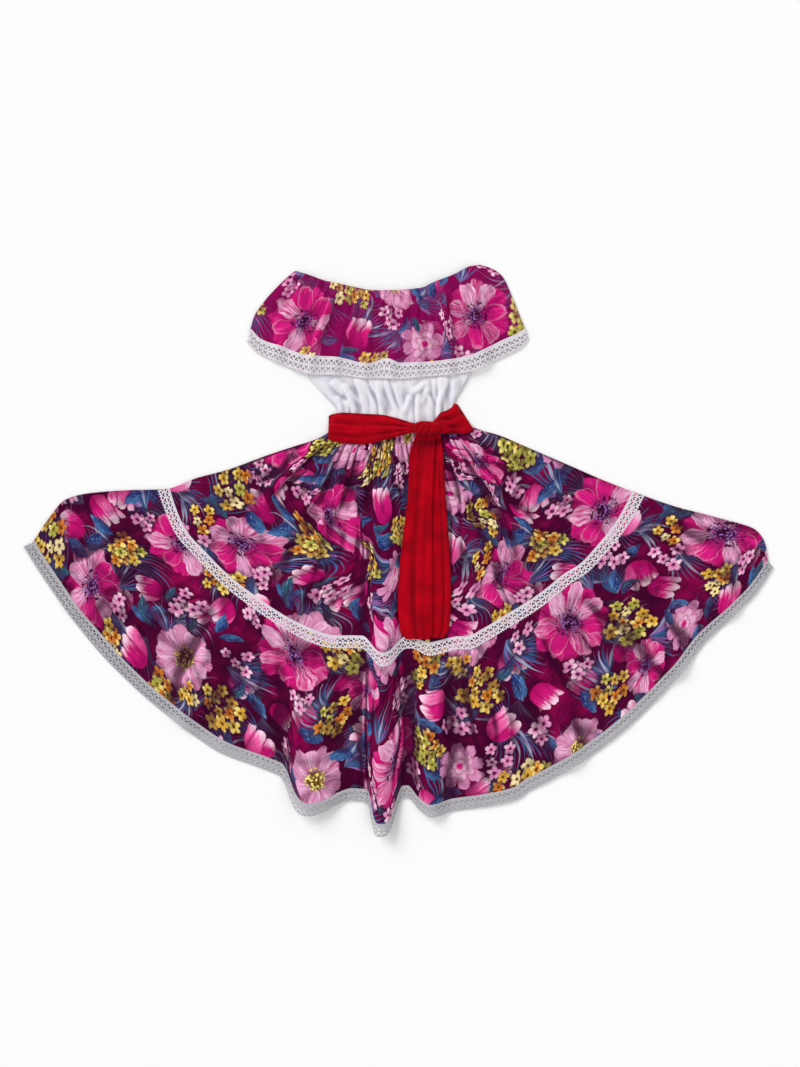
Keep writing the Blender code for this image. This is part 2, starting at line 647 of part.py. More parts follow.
def sash_band(outline, columns, below, lengthwise, end):
    """A stretch of the sash: a grid across it, laid over the waist, with creases that run along it."""
    top_x, top_y, low_x, low_y = table(outline, "top_x", "top_y", "low_x", "low_y")
    corners = np.linspace(0, len(outline) - 1, columns)
    places = np.arange(len(outline), dtype=float)
    top = np.stack([curve(corners, places, top_x), curve(corners, places, top_y)], -1)
    low = np.stack([curve(corners, places, low_x), curve(corners, places, low_y)], -1)
    shares = np.linspace(0, 1, len(lengthwise))
    plan = ruled(top, low, shares)
    height = below.cleared(plan, 2 * SEAM_GAP)
    inner = np.ones(columns)
    inner[end] = 0
    laid = np.maximum(height, SASH_REST * inner[None])
    laid += np.asarray(lengthwise)[:, None] * inner[None]
    laid = np.where(height < PAST_THE_DRESS, SASH_EDGE, laid)
    return wall(np.dstack([plan, laid]), SASH)


def sash_tail(outline, below, creases):
    """A hanging end of the sash, with soft creases down its length."""
    left, right, y = table(outline, "left", "right", "y")
    down = np.linspace(y[0], y[-1], TAIL_ROWS)
    places = -y
    sides = [np.stack([curve(-down, places, x), down], -1) for x in (left, right)]
    plan = np.swapaxes(ruled(sides[0], sides[1], np.linspace(0, 1, len(creases))), 0, 1)
    height = below.cleared(plan, TAIL_GAP)
    risen = height[0].max() + TAIL_RISE * (down[0] - down[:, None])
    height = np.maximum(height, np.minimum(SASH_REST, risen))
    return wall(np.dstack([plan, height + np.asarray(creases)[None]]), SASH)


def sash_knot():
    """The knot: a rounded lump with soft lobes, which rings of points run round from its foot to its top."""
    around, rings = 20, 7
    points = [[0, 0, 0.0]]
    for ring in range(1, rings):
        turn = math.pi * ring / rings
        for step in range(around):
            angle = 2 * math.pi * step / around
            lobes = 1 + KNOT_LOBE * math.cos(KNOT_LOBES * angle)
            out = math.sin(turn) ** KNOT_FULLNESS * lobes
            points.append([out * math.cos(angle) / 2, out * math.sin(angle) / 2, (1 - math.cos(turn)) / 2])
    points.append([0, 0, 1.0])
    faces = []
    last = len(points) - 1
    for step in range(around):
        following = (step + 1) % around
        faces.append([0, 1 + following, 1 + step])
        base = 1 + (rings - 2) * around
        faces.append([last, base + step, base + following])
        for ring in range(rings - 2):
            a = 1 + ring * around + step
            b = 1 + ring * around + following
            faces.append([a, b, b + around])
            faces.append([a, b + around, a + around])
    points = np.array(points) * KNOT_SIZE + [*KNOT_CENTRE, KNOT_REST]
    return points, np.array(faces)


def fabric(name, colour, roughness):
    material = bpy.data.materials.new(name)
    material.use_nodes = True
    shader = material.node_tree.nodes["Principled BSDF"]
    shader.inputs["Base Color"].default_value = colour
    shader.inputs["Roughness"].default_value = roughness
    shader.inputs["Metallic"].default_value = 0.0
    return material


def add_piece(name, points, faces, colour):
    mesh = bpy.data.meshes.new(name)
    mesh.from_pydata((points * MM).tolist(), [], faces.tolist())
    mesh.materials.append(fabric(name, colour, CLOTH_ROUGHNESS))
    mesh.update()
    bpy.context.collection.objects.link(bpy.data.objects.new(name, mesh))


def skirt_pieces():
    grid, edge = front_skirt(skirt_columns(), SKIRT_ROWS)
    facing = upright(outwards(grid), 0)
    upper = parted(grid[: TIER_ROW + 1], -1, -1)
    lower = parted(grid[TIER_ROW:], 0, 1)
    back, back_edge = back_skirt(np.linspace(0, 1, 27))
    back_upper = parted(back[: BACK_TIER_ROW + 1], -1, -1)
    back_lower = parted(back[BACK_TIER_ROW:], 0, 1)
    up = np.zeros_like(back) + [0, 0, 1]
    lace_plan = back[BACK_TIER_ROW - 1 : BACK_TIER_ROW + 2, :, :2]
    hem_top = lapped(back[-1, :, :2], back[-2, :, :2])
    return {
        "skirt_upper_front": (wall(upper, COTTON, facing[: TIER_ROW + 1]), FLORAL),
        "skirt_lower_front": (wall(lower, COTTON, facing[TIER_ROW:]), FLORAL),
        "skirt_upper_back": (wall(back_upper, COTTON, up[: BACK_TIER_ROW + 1]), FLORAL),
        "skirt_lower_back": (wall(back_lower, COTTON, up[BACK_TIER_ROW:]), FLORAL),
        "tier_lace_front": (trim(grid, facing, slice(TIER_ROW - 1, TIER_ROW + 2)), TRIM),
        "hem_lace_front": (edge_trim(grid, facing, edge), TRIM),
        "tier_lace_back": (flat_strip(lace_plan[0], lace_plan[2]), TRIM),
        "hem_lace_back": (flat_strip(hem_top, back_edge), TRIM),
    }


def bodice_pieces():
    back = bodice(np.linspace(0, 1, 17), BACK_BODICE_RISES, False)
    front = bodice(gather_columns(BODICE_GATHERS), FRONT_BODICE_RISES, True)
    return {
        "bodice_back": (wall(back, COTTON), WHITE),
        "bodice_front": (wall(front, COTTON, upright(outwards(front), -1)), WHITE),
    }


def flounce_pieces():
    front, edge = front_flounce(gather_columns(NECK_GATHERS))
    facing = outwards(front)
    back, back_edge = back_flounce(np.linspace(0, 1, 25))
    back_top = lapped(back[-1, :, :2], back[-2, :, :2])
    return {
        "flounce_front": (wall(front, COTTON, facing), FLORAL),
        "flounce_lace_front": (edge_trim(front, facing, edge), TRIM),
        "flounce_back": (wall(back, COTTON, np.zeros_like(back) + [0, 0, 1]), FLORAL),
        "flounce_lace_back": (flat_strip(back_top, back_edge), TRIM),
    }


def sash_pieces(sheets):
    below = Below([sheets[name][0] for name in ("skirt_upper_front", "bodice_front")])
    left = sash_band(LEFT_BAND, LEFT_BAND_COLUMNS, below, BAND_CREASES, 0)
    right = sash_band(RIGHT_BAND, RIGHT_BAND_COLUMNS, below, BAND_CREASES, -1)
    under = sash_tail(UNDER_TAIL, below, UNDER_TAIL_CREASES)
    over = sash_tail(OVER_TAIL, Below([sheets["skirt_upper_front"][0], under]), OVER_TAIL_CREASES)
    top_x, top_y, low_x, low_y = table(BACK_BAND, "top_x", "top_y", "low_x", "low_y")
    strip = flat_strip(np.stack([top_x, top_y], -1), np.stack([low_x, low_y], -1))
    return {
        "sash_back": (strip, RED),
        "sash_band_left": (left, RED),
        "sash_band_right": (right, RED),
        "sash_tail_under": (under, RED),
        "sash_tail_over": (over, RED),
    }


def main():
    for found in list(bpy.data.objects):
        bpy.data.objects.remove(found)
    sheets = {**skirt_pieces(), **bodice_pieces(), **flounce_pieces()}
    sheets.update(sash_pieces(sheets))
    pieces = {name: (*closed_sheet(*grids), colour) for name, (grids, colour) in sheets.items()}
    pieces["sash_knot"] = (*sash_knot(), RED)
    everything = np.concatenate([points for points, _, _ in pieces.values()])
    low, high = everything.min(axis=0), everything.max(axis=0)
    middle = np.array([(low[0] + high[0]) / 2, (low[1] + high[1]) / 2, low[2]])
    for name, (points, faces, colour) in pieces.items():
        add_piece(name, points - middle, faces, colour)


main()
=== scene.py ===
"""The looks of a folk dress that lies flat, front up: floral and white cotton, lace and a red sash.

The dress is drawn in millimetres round the middle of its waist, with +X to the right, +Y to the neck and
+Z up from the floor. A panel is a grid of rows, from its neck side down, and of columns, from left to right.
Each piece becomes a mesh in metres, placed where the frame has its solid."""

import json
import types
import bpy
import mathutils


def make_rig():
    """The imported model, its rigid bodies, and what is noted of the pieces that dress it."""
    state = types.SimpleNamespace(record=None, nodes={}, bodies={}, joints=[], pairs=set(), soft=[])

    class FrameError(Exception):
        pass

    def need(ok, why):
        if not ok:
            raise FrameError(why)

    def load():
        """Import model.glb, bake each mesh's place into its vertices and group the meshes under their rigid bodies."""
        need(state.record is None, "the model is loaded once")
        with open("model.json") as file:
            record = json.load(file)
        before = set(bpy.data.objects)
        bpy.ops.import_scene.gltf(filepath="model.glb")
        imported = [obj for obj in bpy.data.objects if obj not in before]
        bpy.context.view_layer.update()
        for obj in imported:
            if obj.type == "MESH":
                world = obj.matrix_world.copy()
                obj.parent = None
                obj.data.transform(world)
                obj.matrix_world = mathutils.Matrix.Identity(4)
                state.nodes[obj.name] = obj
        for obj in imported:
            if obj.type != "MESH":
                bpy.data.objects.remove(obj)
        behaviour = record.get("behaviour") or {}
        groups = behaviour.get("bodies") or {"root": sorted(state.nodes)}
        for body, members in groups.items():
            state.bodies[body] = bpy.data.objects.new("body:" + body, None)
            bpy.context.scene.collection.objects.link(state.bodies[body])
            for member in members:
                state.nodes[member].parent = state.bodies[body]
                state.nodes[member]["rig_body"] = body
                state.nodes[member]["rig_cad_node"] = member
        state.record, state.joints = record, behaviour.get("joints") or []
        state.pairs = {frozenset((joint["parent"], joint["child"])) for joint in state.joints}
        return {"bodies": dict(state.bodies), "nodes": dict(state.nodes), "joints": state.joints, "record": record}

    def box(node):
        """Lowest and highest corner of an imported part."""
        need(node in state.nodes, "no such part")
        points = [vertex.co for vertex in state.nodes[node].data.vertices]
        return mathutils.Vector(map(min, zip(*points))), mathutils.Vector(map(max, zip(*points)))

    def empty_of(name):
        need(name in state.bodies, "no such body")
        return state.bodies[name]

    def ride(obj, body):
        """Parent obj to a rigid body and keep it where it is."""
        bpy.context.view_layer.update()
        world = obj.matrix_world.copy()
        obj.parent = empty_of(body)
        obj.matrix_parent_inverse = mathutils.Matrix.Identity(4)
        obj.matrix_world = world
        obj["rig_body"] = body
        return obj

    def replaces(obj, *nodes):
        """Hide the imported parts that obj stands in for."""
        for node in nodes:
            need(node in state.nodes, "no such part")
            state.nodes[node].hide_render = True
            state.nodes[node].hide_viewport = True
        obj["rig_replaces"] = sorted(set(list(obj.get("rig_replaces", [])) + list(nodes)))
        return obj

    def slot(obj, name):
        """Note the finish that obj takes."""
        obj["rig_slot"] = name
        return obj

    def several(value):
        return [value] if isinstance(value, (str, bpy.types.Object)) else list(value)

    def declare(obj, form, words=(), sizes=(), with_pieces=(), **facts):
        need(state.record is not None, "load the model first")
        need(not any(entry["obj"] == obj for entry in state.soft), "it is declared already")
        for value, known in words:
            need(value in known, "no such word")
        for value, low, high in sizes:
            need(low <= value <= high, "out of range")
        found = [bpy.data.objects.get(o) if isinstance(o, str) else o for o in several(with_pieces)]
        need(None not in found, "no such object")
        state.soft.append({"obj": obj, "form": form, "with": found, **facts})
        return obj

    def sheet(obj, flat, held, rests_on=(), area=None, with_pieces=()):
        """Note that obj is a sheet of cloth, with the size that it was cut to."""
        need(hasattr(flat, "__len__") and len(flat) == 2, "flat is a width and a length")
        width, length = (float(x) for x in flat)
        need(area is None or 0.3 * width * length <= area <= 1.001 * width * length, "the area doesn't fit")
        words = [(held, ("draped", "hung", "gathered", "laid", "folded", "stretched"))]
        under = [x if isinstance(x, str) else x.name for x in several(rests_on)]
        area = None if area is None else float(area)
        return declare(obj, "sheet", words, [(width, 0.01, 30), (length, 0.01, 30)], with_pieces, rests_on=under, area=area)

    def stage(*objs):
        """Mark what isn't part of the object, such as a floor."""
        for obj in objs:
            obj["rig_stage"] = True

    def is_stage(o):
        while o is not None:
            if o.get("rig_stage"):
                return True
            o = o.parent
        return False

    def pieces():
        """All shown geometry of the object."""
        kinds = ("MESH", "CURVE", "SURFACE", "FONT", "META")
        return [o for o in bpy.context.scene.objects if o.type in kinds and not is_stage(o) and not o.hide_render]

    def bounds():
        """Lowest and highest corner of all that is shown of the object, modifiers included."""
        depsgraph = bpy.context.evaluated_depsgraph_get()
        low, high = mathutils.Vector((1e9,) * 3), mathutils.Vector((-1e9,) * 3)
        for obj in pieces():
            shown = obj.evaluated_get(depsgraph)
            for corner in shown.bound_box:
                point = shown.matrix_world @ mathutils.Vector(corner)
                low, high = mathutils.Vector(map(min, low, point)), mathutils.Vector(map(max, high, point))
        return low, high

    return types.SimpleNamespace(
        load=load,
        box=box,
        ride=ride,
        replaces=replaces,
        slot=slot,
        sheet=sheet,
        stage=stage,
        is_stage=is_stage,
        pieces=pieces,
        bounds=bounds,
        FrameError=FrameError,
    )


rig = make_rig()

bl_info = {
    "name": "Folk Dress Laid Flat",
    "version": (1, 0, 0),
    "blender": (4, 5, 0),
    "location": "View3D > Sidebar > Dress",
    "description": "Makes the cloth, print, lace, sash, sewing and stage of a folk dress that lies flat",
    "category": "Object",
}

import json
import math
from collections import namedtuple

import bpy
import numpy as np
from bpy.props import FloatProperty, FloatVectorProperty, PointerProperty
from mathutils import Vector
from mathutils.bvhtree import BVHTree

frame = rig.load()

CAD_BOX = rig.bounds()
MM = 0.001

# The solids' own walls, which set how high each layer lies.
SEAM_GAP = 0.3
LACE_WIDTH = 25.0
LACE_LAP = 5.0
LACE_DROP = LACE_WIDTH - LACE_LAP
OVER_LACE = 1.3
BACK_UNDER_FLOUNCE = 2.9
SIDE_SEAM = 1.7
FRONT_REST = 3.0
BODICE_REST = 4.6
BODICE_NECK = 3.2
FLOUNCE_REST = 7.2
FLOUNCE_NECK = 5.8
LACE_EDGE = 1.5
BACK_SMALLER = 3.0
# No front panel dips below this, so that it stays clear of the back.
LOWEST_FRONT = 2.1
# No crease of the back rises above this.
HIGHEST_BACK = 1.0
# The flounce's creases dip no further than this below its folds.
FLOUNCE_DIP = 1.6
# How far down the upper tier the sash covers it, as a share, and how soon the fine gathers then stand up.
UNDER_SASH = 0.045
PAST_SASH = 0.08
# How far down a panel its unevenness takes to start, as a share.
SKIRT_CALM = 0.2
FLOUNCE_CALM = 0.25

WAIST_LENGTH = 256.0
TIER_LENGTH = 1098.0
HEM_LENGTH = 1830.0
BODICE_WIDTH = 290.0
BODICE_TOP = 332.0
BODICE_INSET = 17.0
BODICE_BELOW_NECK = 5.0
NECK_LENGTH = 358.0
FLOUNCE_LENGTH = 536.0
# How many gathers a panel has, how high they are, and how far along it they run, as a share of its length.
Gathers = namedtuple("Gathers", "count height reach")
WAIST_GATHERS = Gathers(24, 3.0, 0.5)
FINE_WAIST_GATHERS = Gathers(37, 3.4, 0.55)
BODICE_GATHERS = Gathers(14, 1.65, 0.36)
NECK_GATHERS = Gathers(24, 3.0, 1.1)
FINE_NECK_GATHERS = Gathers(61, 1.6, 0.42)
# The soft unevenness of a panel: how wide and high its bumps are, and what its random waves start from.
Uneven = namedtuple("Uneven", "size height seed")
BROAD_SKIRT_UNEVEN = Uneven(90, 0.9, 3)
FINE_SKIRT_UNEVEN = Uneven(26, 0.28, 8)
BODICE_UNEVEN = Uneven(48, 0.4, 5)
FLOUNCE_UNEVEN = Uneven(40, 0.7, 21)
WAVES = 9
# How far in from a panel's side edge, as a share of its width, the edge draws its columns with it.
SIDE_REACH = 0.1
BODICE_SIDE_REACH = 0.15
# How far in from it, in the same way, the panel comes down to its edge.
SKIRT_EDGE = 0.018
BODICE_EDGE = 0.03
FLOUNCE_EDGE = 0.022


def rows_of(kind, *rows):
    """The rows of a table. Its kind names their columns."""
    return tuple(kind(*row) for row in rows)


# Angles are in degrees from the middle front, to the right, and radii start at the waist's middle.
Level = namedtuple("Level", "angle radius")
TIER_LINE = rows_of(
    Level,
    (-75.2, 471), (-66, 470), (-57, 455), (-48, 445), (-39, 437), (-30, 435), (-20, 433), (-12, 420),
    (-4, 412), (3, 412), (8, 429), (13, 427), (20, 431), (30, 425), (38, 428), (47, 434), (53, 449),
    (58, 456), (65, 469), (72.9, 481),
)
HEM_LINE = rows_of(
    Level,
    (-72.9, 765), (-66, 746), (-60, 734), (-54, 724), (-44, 717), (-37, 714), (-30, 717), (-22, 709),
    (-14, 713), (-7, 725), (-2, 718), (1.2, 714), (2.9, 737), (4.7, 752), (8.4, 747), (17.4, 752),
    (20, 744), (27.6, 736), (36.7, 728), (47, 722), (54, 721), (60.5, 740), (65.3, 760), (69.9, 772),
)
BACK_TIER_LINE = rows_of(
    Level,
    (-75.2, 471), (-66, 462), (-48, 436), (-20, 418), (0, 404), (30, 415), (53, 438), (66, 462),
    (72.9, 481),
)
BACK_HEM_LINE = rows_of(
    Level,
    (-72.9, 761), (-66, 742), (-55, 728), (-42, 712), (-30, 697), (-15, 690), (0, 692), (15, 704),
    (45, 706), (56, 716), (64, 742), (69.9, 770),
)

# Where a column of the front skirt starts on the waist and ends on the hem, for its share of the tier seam.
Column = namedtuple("Column", "across waist hem")
LEANS = rows_of(
    Column,
    (0, 0, 0), (0.126, 0.045, 0.150), (0.340, 0.250, 0.411), (0.479, 0.387, 0.4916), (0.558, 0.490, 0.541),
    (0.753, 0.840, 0.745), (0.809, 0.930, 0.803), (1, 1, 1),
)

# The side edges: how far down the panel, or for the skirt 1 is the tier seam and 2 the hem, and where.
Side = namedtuple("Side", "along left_x left_y right_x right_y")
SKIRT_SIDES = rows_of(
    Side,
    (0, -132, 0, 124, 14), (0.10, -160, -18, 158, -1), (0.25, -199, -30, 190, -10),
    (0.45, -265, -52, 259, -39), (0.65, -333, -77, 331, -70), (0.82, -393, -93, 393, -97),
    (1, -456, -115, 460, -123), (1.25, -530, -117, 532, -148), (1.50, -605, -123, 612, -169),
    (1.68, -648, -135, 690, -194), (1.85, -683, -175, 708, -222), (2, -712, -219, 713, -256),
)
BODICE_SIDES = rows_of(
    Side,
    (0, -132, 0, 124, 14), (0.13, -121, 35, 104, 49), (0.25, -147, 68, 121, 84),
    (0.37, -174, 102, 136, 117), (0.46, -186, 128, 144, 140), (0.66, -163, 186, 127, 198),
    (0.84, -166, 238, 131, 248), (1, -186, 290, 146, 299),
)
FLOUNCE_SIDES = rows_of(
    Side,
    (0, -203, 308, 155, 320), (0.16, -217, 297, 180, 312), (0.32, -236, 279, 199, 297),
    (0.55, -264, 248, 214, 266), (0.80, -283, 219, 231, 224), (1, -291, 190, 245, 188),
)

Place = namedtuple("Place", "x y")
WAIST_SEAM = rows_of(Place, (-132, 0), (-80, 6), (-20, 4), (40, 0), (90, 6), (124, 14))
NECKLINE = rows_of(
    Place,
    (-203, 308), (-171, 298), (-147, 289), (-124, 284), (-101, 279), (-78, 274), (-54, 270), (-8, 270),
    (16, 272), (39, 274), (62, 284), (85, 293), (109, 303), (132, 315), (155, 320),
)
FLOUNCE_HEM = rows_of(
    Place,
    (-291, 190), (-271, 169), (-231, 155), (-182, 138), (-122, 134), (-64, 122), (-27, 132), (0, 123),
    (37, 124), (91, 128), (135, 136), (178, 155), (205, 168), (228, 178), (245, 188),
)
FLOUNCE_LACE_EDGE = rows_of(
    Place,
    (-297, 169), (-277, 149), (-241, 132), (-202, 115), (-163, 105), (-122, 105), (-74, 99), (0, 97),
    (37, 101), (91, 105), (138, 112), (184, 134), (213, 147), (237, 161), (249, 178),
)
FLOUNCE_LEANS = rows_of(Place, (0, 0), (0.226, 0.22), (0.66, 0.605), (0.77, 0.726), (1, 1))

# A large fold runs down its column: where it is across, where it starts and ends, its height and its reach
# to either side, and how far it carries the tier seam and the hem outwards.
Fold = namedtuple("Fold", "across start end height left right tier_drop hem_drop", defaults=(0, 0))
SKIRT_FOLDS = rows_of(
    Fold,
    (0.126, 0.02, 0.66, 8, 22, 30),
    (0.220, 0.10, 0.90, 4, 34, 28),
    (0.300, 0.05, 1.10, 5, 24, 22),
    (0.390, -1.0, 0.92, 5, 20, 18),
    (0.479, 0.05, 3.0, 17, 46, 46, 33, 0),
    (0.340, 1.05, 3.0, 16, 70, 92, 0, 55),
    (0.558, 1.02, 3.0, 11, 34, 46),
    (0.631, 1.00, 1.8, 6, 24, 30, 4, 0),
    (0.700, 0.30, 1.10, 5, 30, 24),
    (0.753, 0.03, 0.85, 7, 26, 20),
    (0.809, 0.02, 0.80, 9, 24, 28),
    (0.070, 1.05, 2.1, 5, 40, 36),
    (0.205, 1.10, 3.0, 6, 42, 50),
    (0.715, 1.15, 3.0, 5, 46, 38),
    (0.860, 1.05, 3.0, 6, 40, 52),
    (0.940, 1.10, 2.2, 4, 34, 30),
)
# The highest fold ends in a tongue that hangs out past the hem, and its reach there to its left and right.
Tongue = namedtuple("Tongue", "across out left right")
TONGUE = Tongue(across=0.479, out=67, left=32, right=40)
FLOUNCE_FOLDS = rows_of(
    Fold,
    (0.10, 0.25, 3, 4, 20, 24),
    (0.226, -1, 3, 5, 16, 20),
    (0.33, 0.3, 3, 4, 22, 18),
    (0.45, 0.45, 3, 4, 20, 22),
    (0.56, 0.35, 3, 3, 18, 20),
    (0.66, -1, 3, 4, 14, 18),
    (0.765, -1, 3, 6, 15, 18),
    (0.875, 0.2, 3, 5, 20, 18),
)
BODICE_FOLDS = rows_of(
    Fold,
    (0.16, -1, 0.6, 4, 9, 12),
    (0.38, -1, 0.7, 3, 8, 10),
    (0.66, -1, 0.7, 3, 10, 8),
    (0.84, -1, 0.6, 4, 12, 9),
)

# How soon a fold rises at its start and sinks at its end.
FOLD_FADE = 0.25
# The bodice's folds and creases start at the waist and fade out this far up, over this stretch.
BODICE_FOLDS_END = 0.2
BODICE_FOLDS_FADE = 0.12
BODICE_CREASES_END = 0.34
BODICE_CREASES_FADE = 0.08
# Where the flounce covers the bodice: from the left to the right, each side drawn in further down the panel.
Covering = namedtuple("Covering", "start end left_in right_in step")
OVER_BODICE = Covering(start=0.005, end=0.995, left_in=0.13, right_in=0.10, step=0.05)

# How high each panel's underside lies down its length.
Rise = namedtuple("Rise", "along height")
SKIRT_EDGE_RISES = rows_of(
    Rise,
    (0, 3), (0.07, 3), (0.18, SIDE_SEAM), (0.66, SIDE_SEAM), (0.97, 3), (1.045, 3), (1.30, SIDE_SEAM),
    (1.68, SIDE_SEAM), (1.982, 3), (2, 3),
)
BACK_SKIRT_RISES = rows_of(
    Rise,
    (0, OVER_LACE), (0.07, OVER_LACE), (0.12, 0), (0.93, 0), (0.965, OVER_LACE), (1.05, OVER_LACE),
    (1.09, 0), (1.87, 0), (1.93, OVER_LACE), (2, OVER_LACE),
)
BACK_BODICE_RISES = rows_of(
    Rise,
    (0, OVER_LACE), (0.24, OVER_LACE), (0.31, BACK_UNDER_FLOUNCE), (0.9, BACK_UNDER_FLOUNCE), (1, 1.5),
)
FRONT_BODICE_RISES = rows_of(
    Rise,
    (0, FRONT_REST), (0.24, FRONT_REST), (0.31, BODICE_REST), (0.9, BODICE_REST), (1, BODICE_NECK),
)
# The flounce's side seam ends at its lace.
FLOUNCE_SEAM_END = 0.9
FLOUNCE_RISES = rows_of(Rise, (0, FLOUNCE_NECK), (0.12, FLOUNCE_REST))
BACK_FLOUNCE_RISES = rows_of(Rise, (0, 0), (0.86, 0), (0.93, OVER_LACE), (1, OVER_LACE))

# A crease: where it starts and ends, its reach to its left and right as it runs down, and
# its height, below 0 for a trough. A short reach on one side makes a steep edge there. A trough lies between
# two raised shoulders, which reach this much further than it does.
SHOULDERS = 2.2
CREASE_DEPTH = 1.5
# How soon a crease rises at its start and sinks at its end, and how far it sways, as shares of its length.
CREASE_START = 0.22
CREASE_END = 0.34
CREASE_SWAY = 0.02
Crease = namedtuple("Crease", "x y to_x to_y left right height")
UPPER_CREASES = rows_of(
    Crease,
    (-134, -12, -272, -150, 26, 6, 6.5), (-126, -22, -232, -150, 8, 20, 3.0),
    (-118, -28, -206, -196, 9, 12, 2.6), (-87, -100, -64, -232, 6, 22, 3.4),
    (-72, -160, -74, -268, 4, 5, -3.4), (-56, -20, -70, -124, 3, 3, -2.6),
    (-45, -18, -54, -140, 3, 4, -3.0), (-33, -20, -38, -128, 3, 3, -2.6), (-23, -18, -24, -150, 3, 4, -3.2),
    (-12, -20, -10, -136, 3, 3, -2.6), (-2, -18, 2, -120, 3, 3, -2.8), (-54, -200, -56, -414, 5, 6, -4.2),
    (-38, -60, -40, -200, 5, 9, 2.4), (-92, -40, -128, -176, 5, 8, 2.4),
    (-104, -60, -170, -230, 6, 16, 2.6), (-150, -60, -300, -120, 10, 7, 1.8),
    (-170, -200, -236, -330, 20, 14, 2.2), (-300, -140, -392, -196, 18, 26, 2.0),
    (-120, -250, -160, -376, 16, 22, 2.4), (-220, -60, -330, -92, 12, 9, 1.6),
    (104, -20, 132, -240, 6, 12, 2.8), (112, -10, 226, -140, 8, 24, 6.0), (107, -4, 206, -146, 5, 5, -3.0),
    (140, -70, 262, -220, 9, 18, 3.6), (226, -150, 282, -232, 6, 16, 3.0),
    (100, -120, 112, -330, 8, 14, 2.6), (130, -30, 300, -110, 10, 8, 2.4),
    (160, -130, 232, -330, 18, 24, 2.4), (280, -90, 400, -160, 14, 20, 2.2),
    (190, -260, 226, -350, 10, 18, 1.8), (-196, -34, -262, -60, 8, 8, 1.4),
    (310, -210, 372, -246, 22, 16, 1.6),
)
LOWER_CREASES = rows_of(
    Crease,
    (-206, -500, -204, -712, 5, 16, 4.2), (-220, -560, -216, -690, 6, 6, -2.6),
    (-160, -460, -158, -612, 12, 9, 3.0), (-112, -470, -96, -640, 18, 22, 2.6),
    (-62, -430, -54, -790, 5, 7, -4.6), (-36, -452, -38, -612, 13, 13, 4.2),
    (-4, -450, -8, -730, 6, 5, -4.6), (0, -440, 4, -528, 6, 10, 2.6), (36, -500, 34, -606, 6, 14, 3.2),
    (72, -424, 84, -670, 8, 16, 3.4), (58, -540, 64, -700, 7, 6, -2.4), (140, -420, 150, -512, 7, 14, 3.0),
    (176, -480, 218, -640, 22, 14, 2.4), (120, -540, 150, -700, 12, 16, 2.0),
    (250, -380, 330, -560, 24, 20, 2.6), (330, -330, 430, -480, 16, 28, 2.8),
    (420, -300, 540, -420, 20, 16, 2.2), (470, -180, 640, -270, 18, 26, 2.6),
    (520, -160, 690, -210, 12, 12, 1.6), (-270, -410, -330, -580, 20, 26, 2.6),
    (-330, -370, -440, -520, 26, 18, 2.8), (-420, -300, -560, -420, 18, 24, 2.6),
    (-470, -200, -660, -290, 20, 28, 2.8), (-500, -140, -680, -190, 14, 12, 1.8),
    (-250, -520, -272, -620, 12, 14, 2.0), (-380, -430, -420, -560, 14, 16, 1.6),
    (380, -420, 420, -520, 14, 14, 1.6),
)
BODICE_CREASES = rows_of(
    Crease,
    (-136, 96, -100, 62, 8, 20, 2.1), (-108, 66, -74, 40, 10, 12, -1.7), (-112, 92, -92, 40, 8, 17, 1.5),
    (-88, 106, -66, 32, 7, 17, 1.9), (-66, 106, -38, 30, 8, 8, -1.9), (-48, 100, -30, 34, 7, 14, 1.4),
    (-24, 108, 4, 26, 8, 7, -2.0), (-10, 104, 2, 44, 7, 14, 1.2), (54, 92, 18, 66, 12, 7, 2.0),
    (20, 70, 6, 26, 10, 7, 1.9), (60, 84, 34, 44, 14, 8, 1.2), (56, 102, 66, 40, 7, 8, -1.7),
    (78, 110, 80, 34, 7, 14, 1.5), (95, 110, 92, 44, 7, 10, -1.5), (-122, 70, -114, 24, 8, 8, 1.0),
    (106, 100, 104, 52, 8, 10, 1.1),
)
FLOUNCE_CREASES = rows_of(
    Crease,
    (-120, 276, -176, 138, 5, 14, 3.4), (-150, 282, -216, 160, 10, 14, 2.0),
    (-176, 292, -250, 190, 9, 10, 2.0), (-84, 268, -106, 150, 7, 11, 2.2), (-54, 264, -66, 136, 6, 10, 2.4),
    (-20, 262, -24, 158, 5, 8, 2.0), (8, 262, 6, 134, 8, 9, 2.0), (33, 266, 32, 190, 4, 6, 2.6),
    (52, 270, 62, 138, 7, 10, 1.8), (78, 278, 98, 134, 4, 6, -3.2), (88, 284, 90, 136, 4, 12, 3.2),
    (112, 296, 144, 150, 8, 12, 2.4), (136, 306, 188, 172, 9, 14, 2.2),
)
# The hidden back has a few soft creases like the front's.
BACK_CREASES = rows_of(
    Crease,
    (-110, -20, -300, -150, 14, 10, 1.2), (-60, -40, -150, -380, 12, 16, 1.2),
    (20, -40, 30, -400, 10, 14, 1.2), (90, -30, 250, -290, 14, 12, 1.2),
    (-300, -390, -410, -560, 18, 20, 1.2), (-60, -440, -80, -640, 16, 16, 1.2),
    (150, -430, 200, -620, 18, 14, 1.2), (400, -300, 560, -410, 16, 20, 1.2),
)

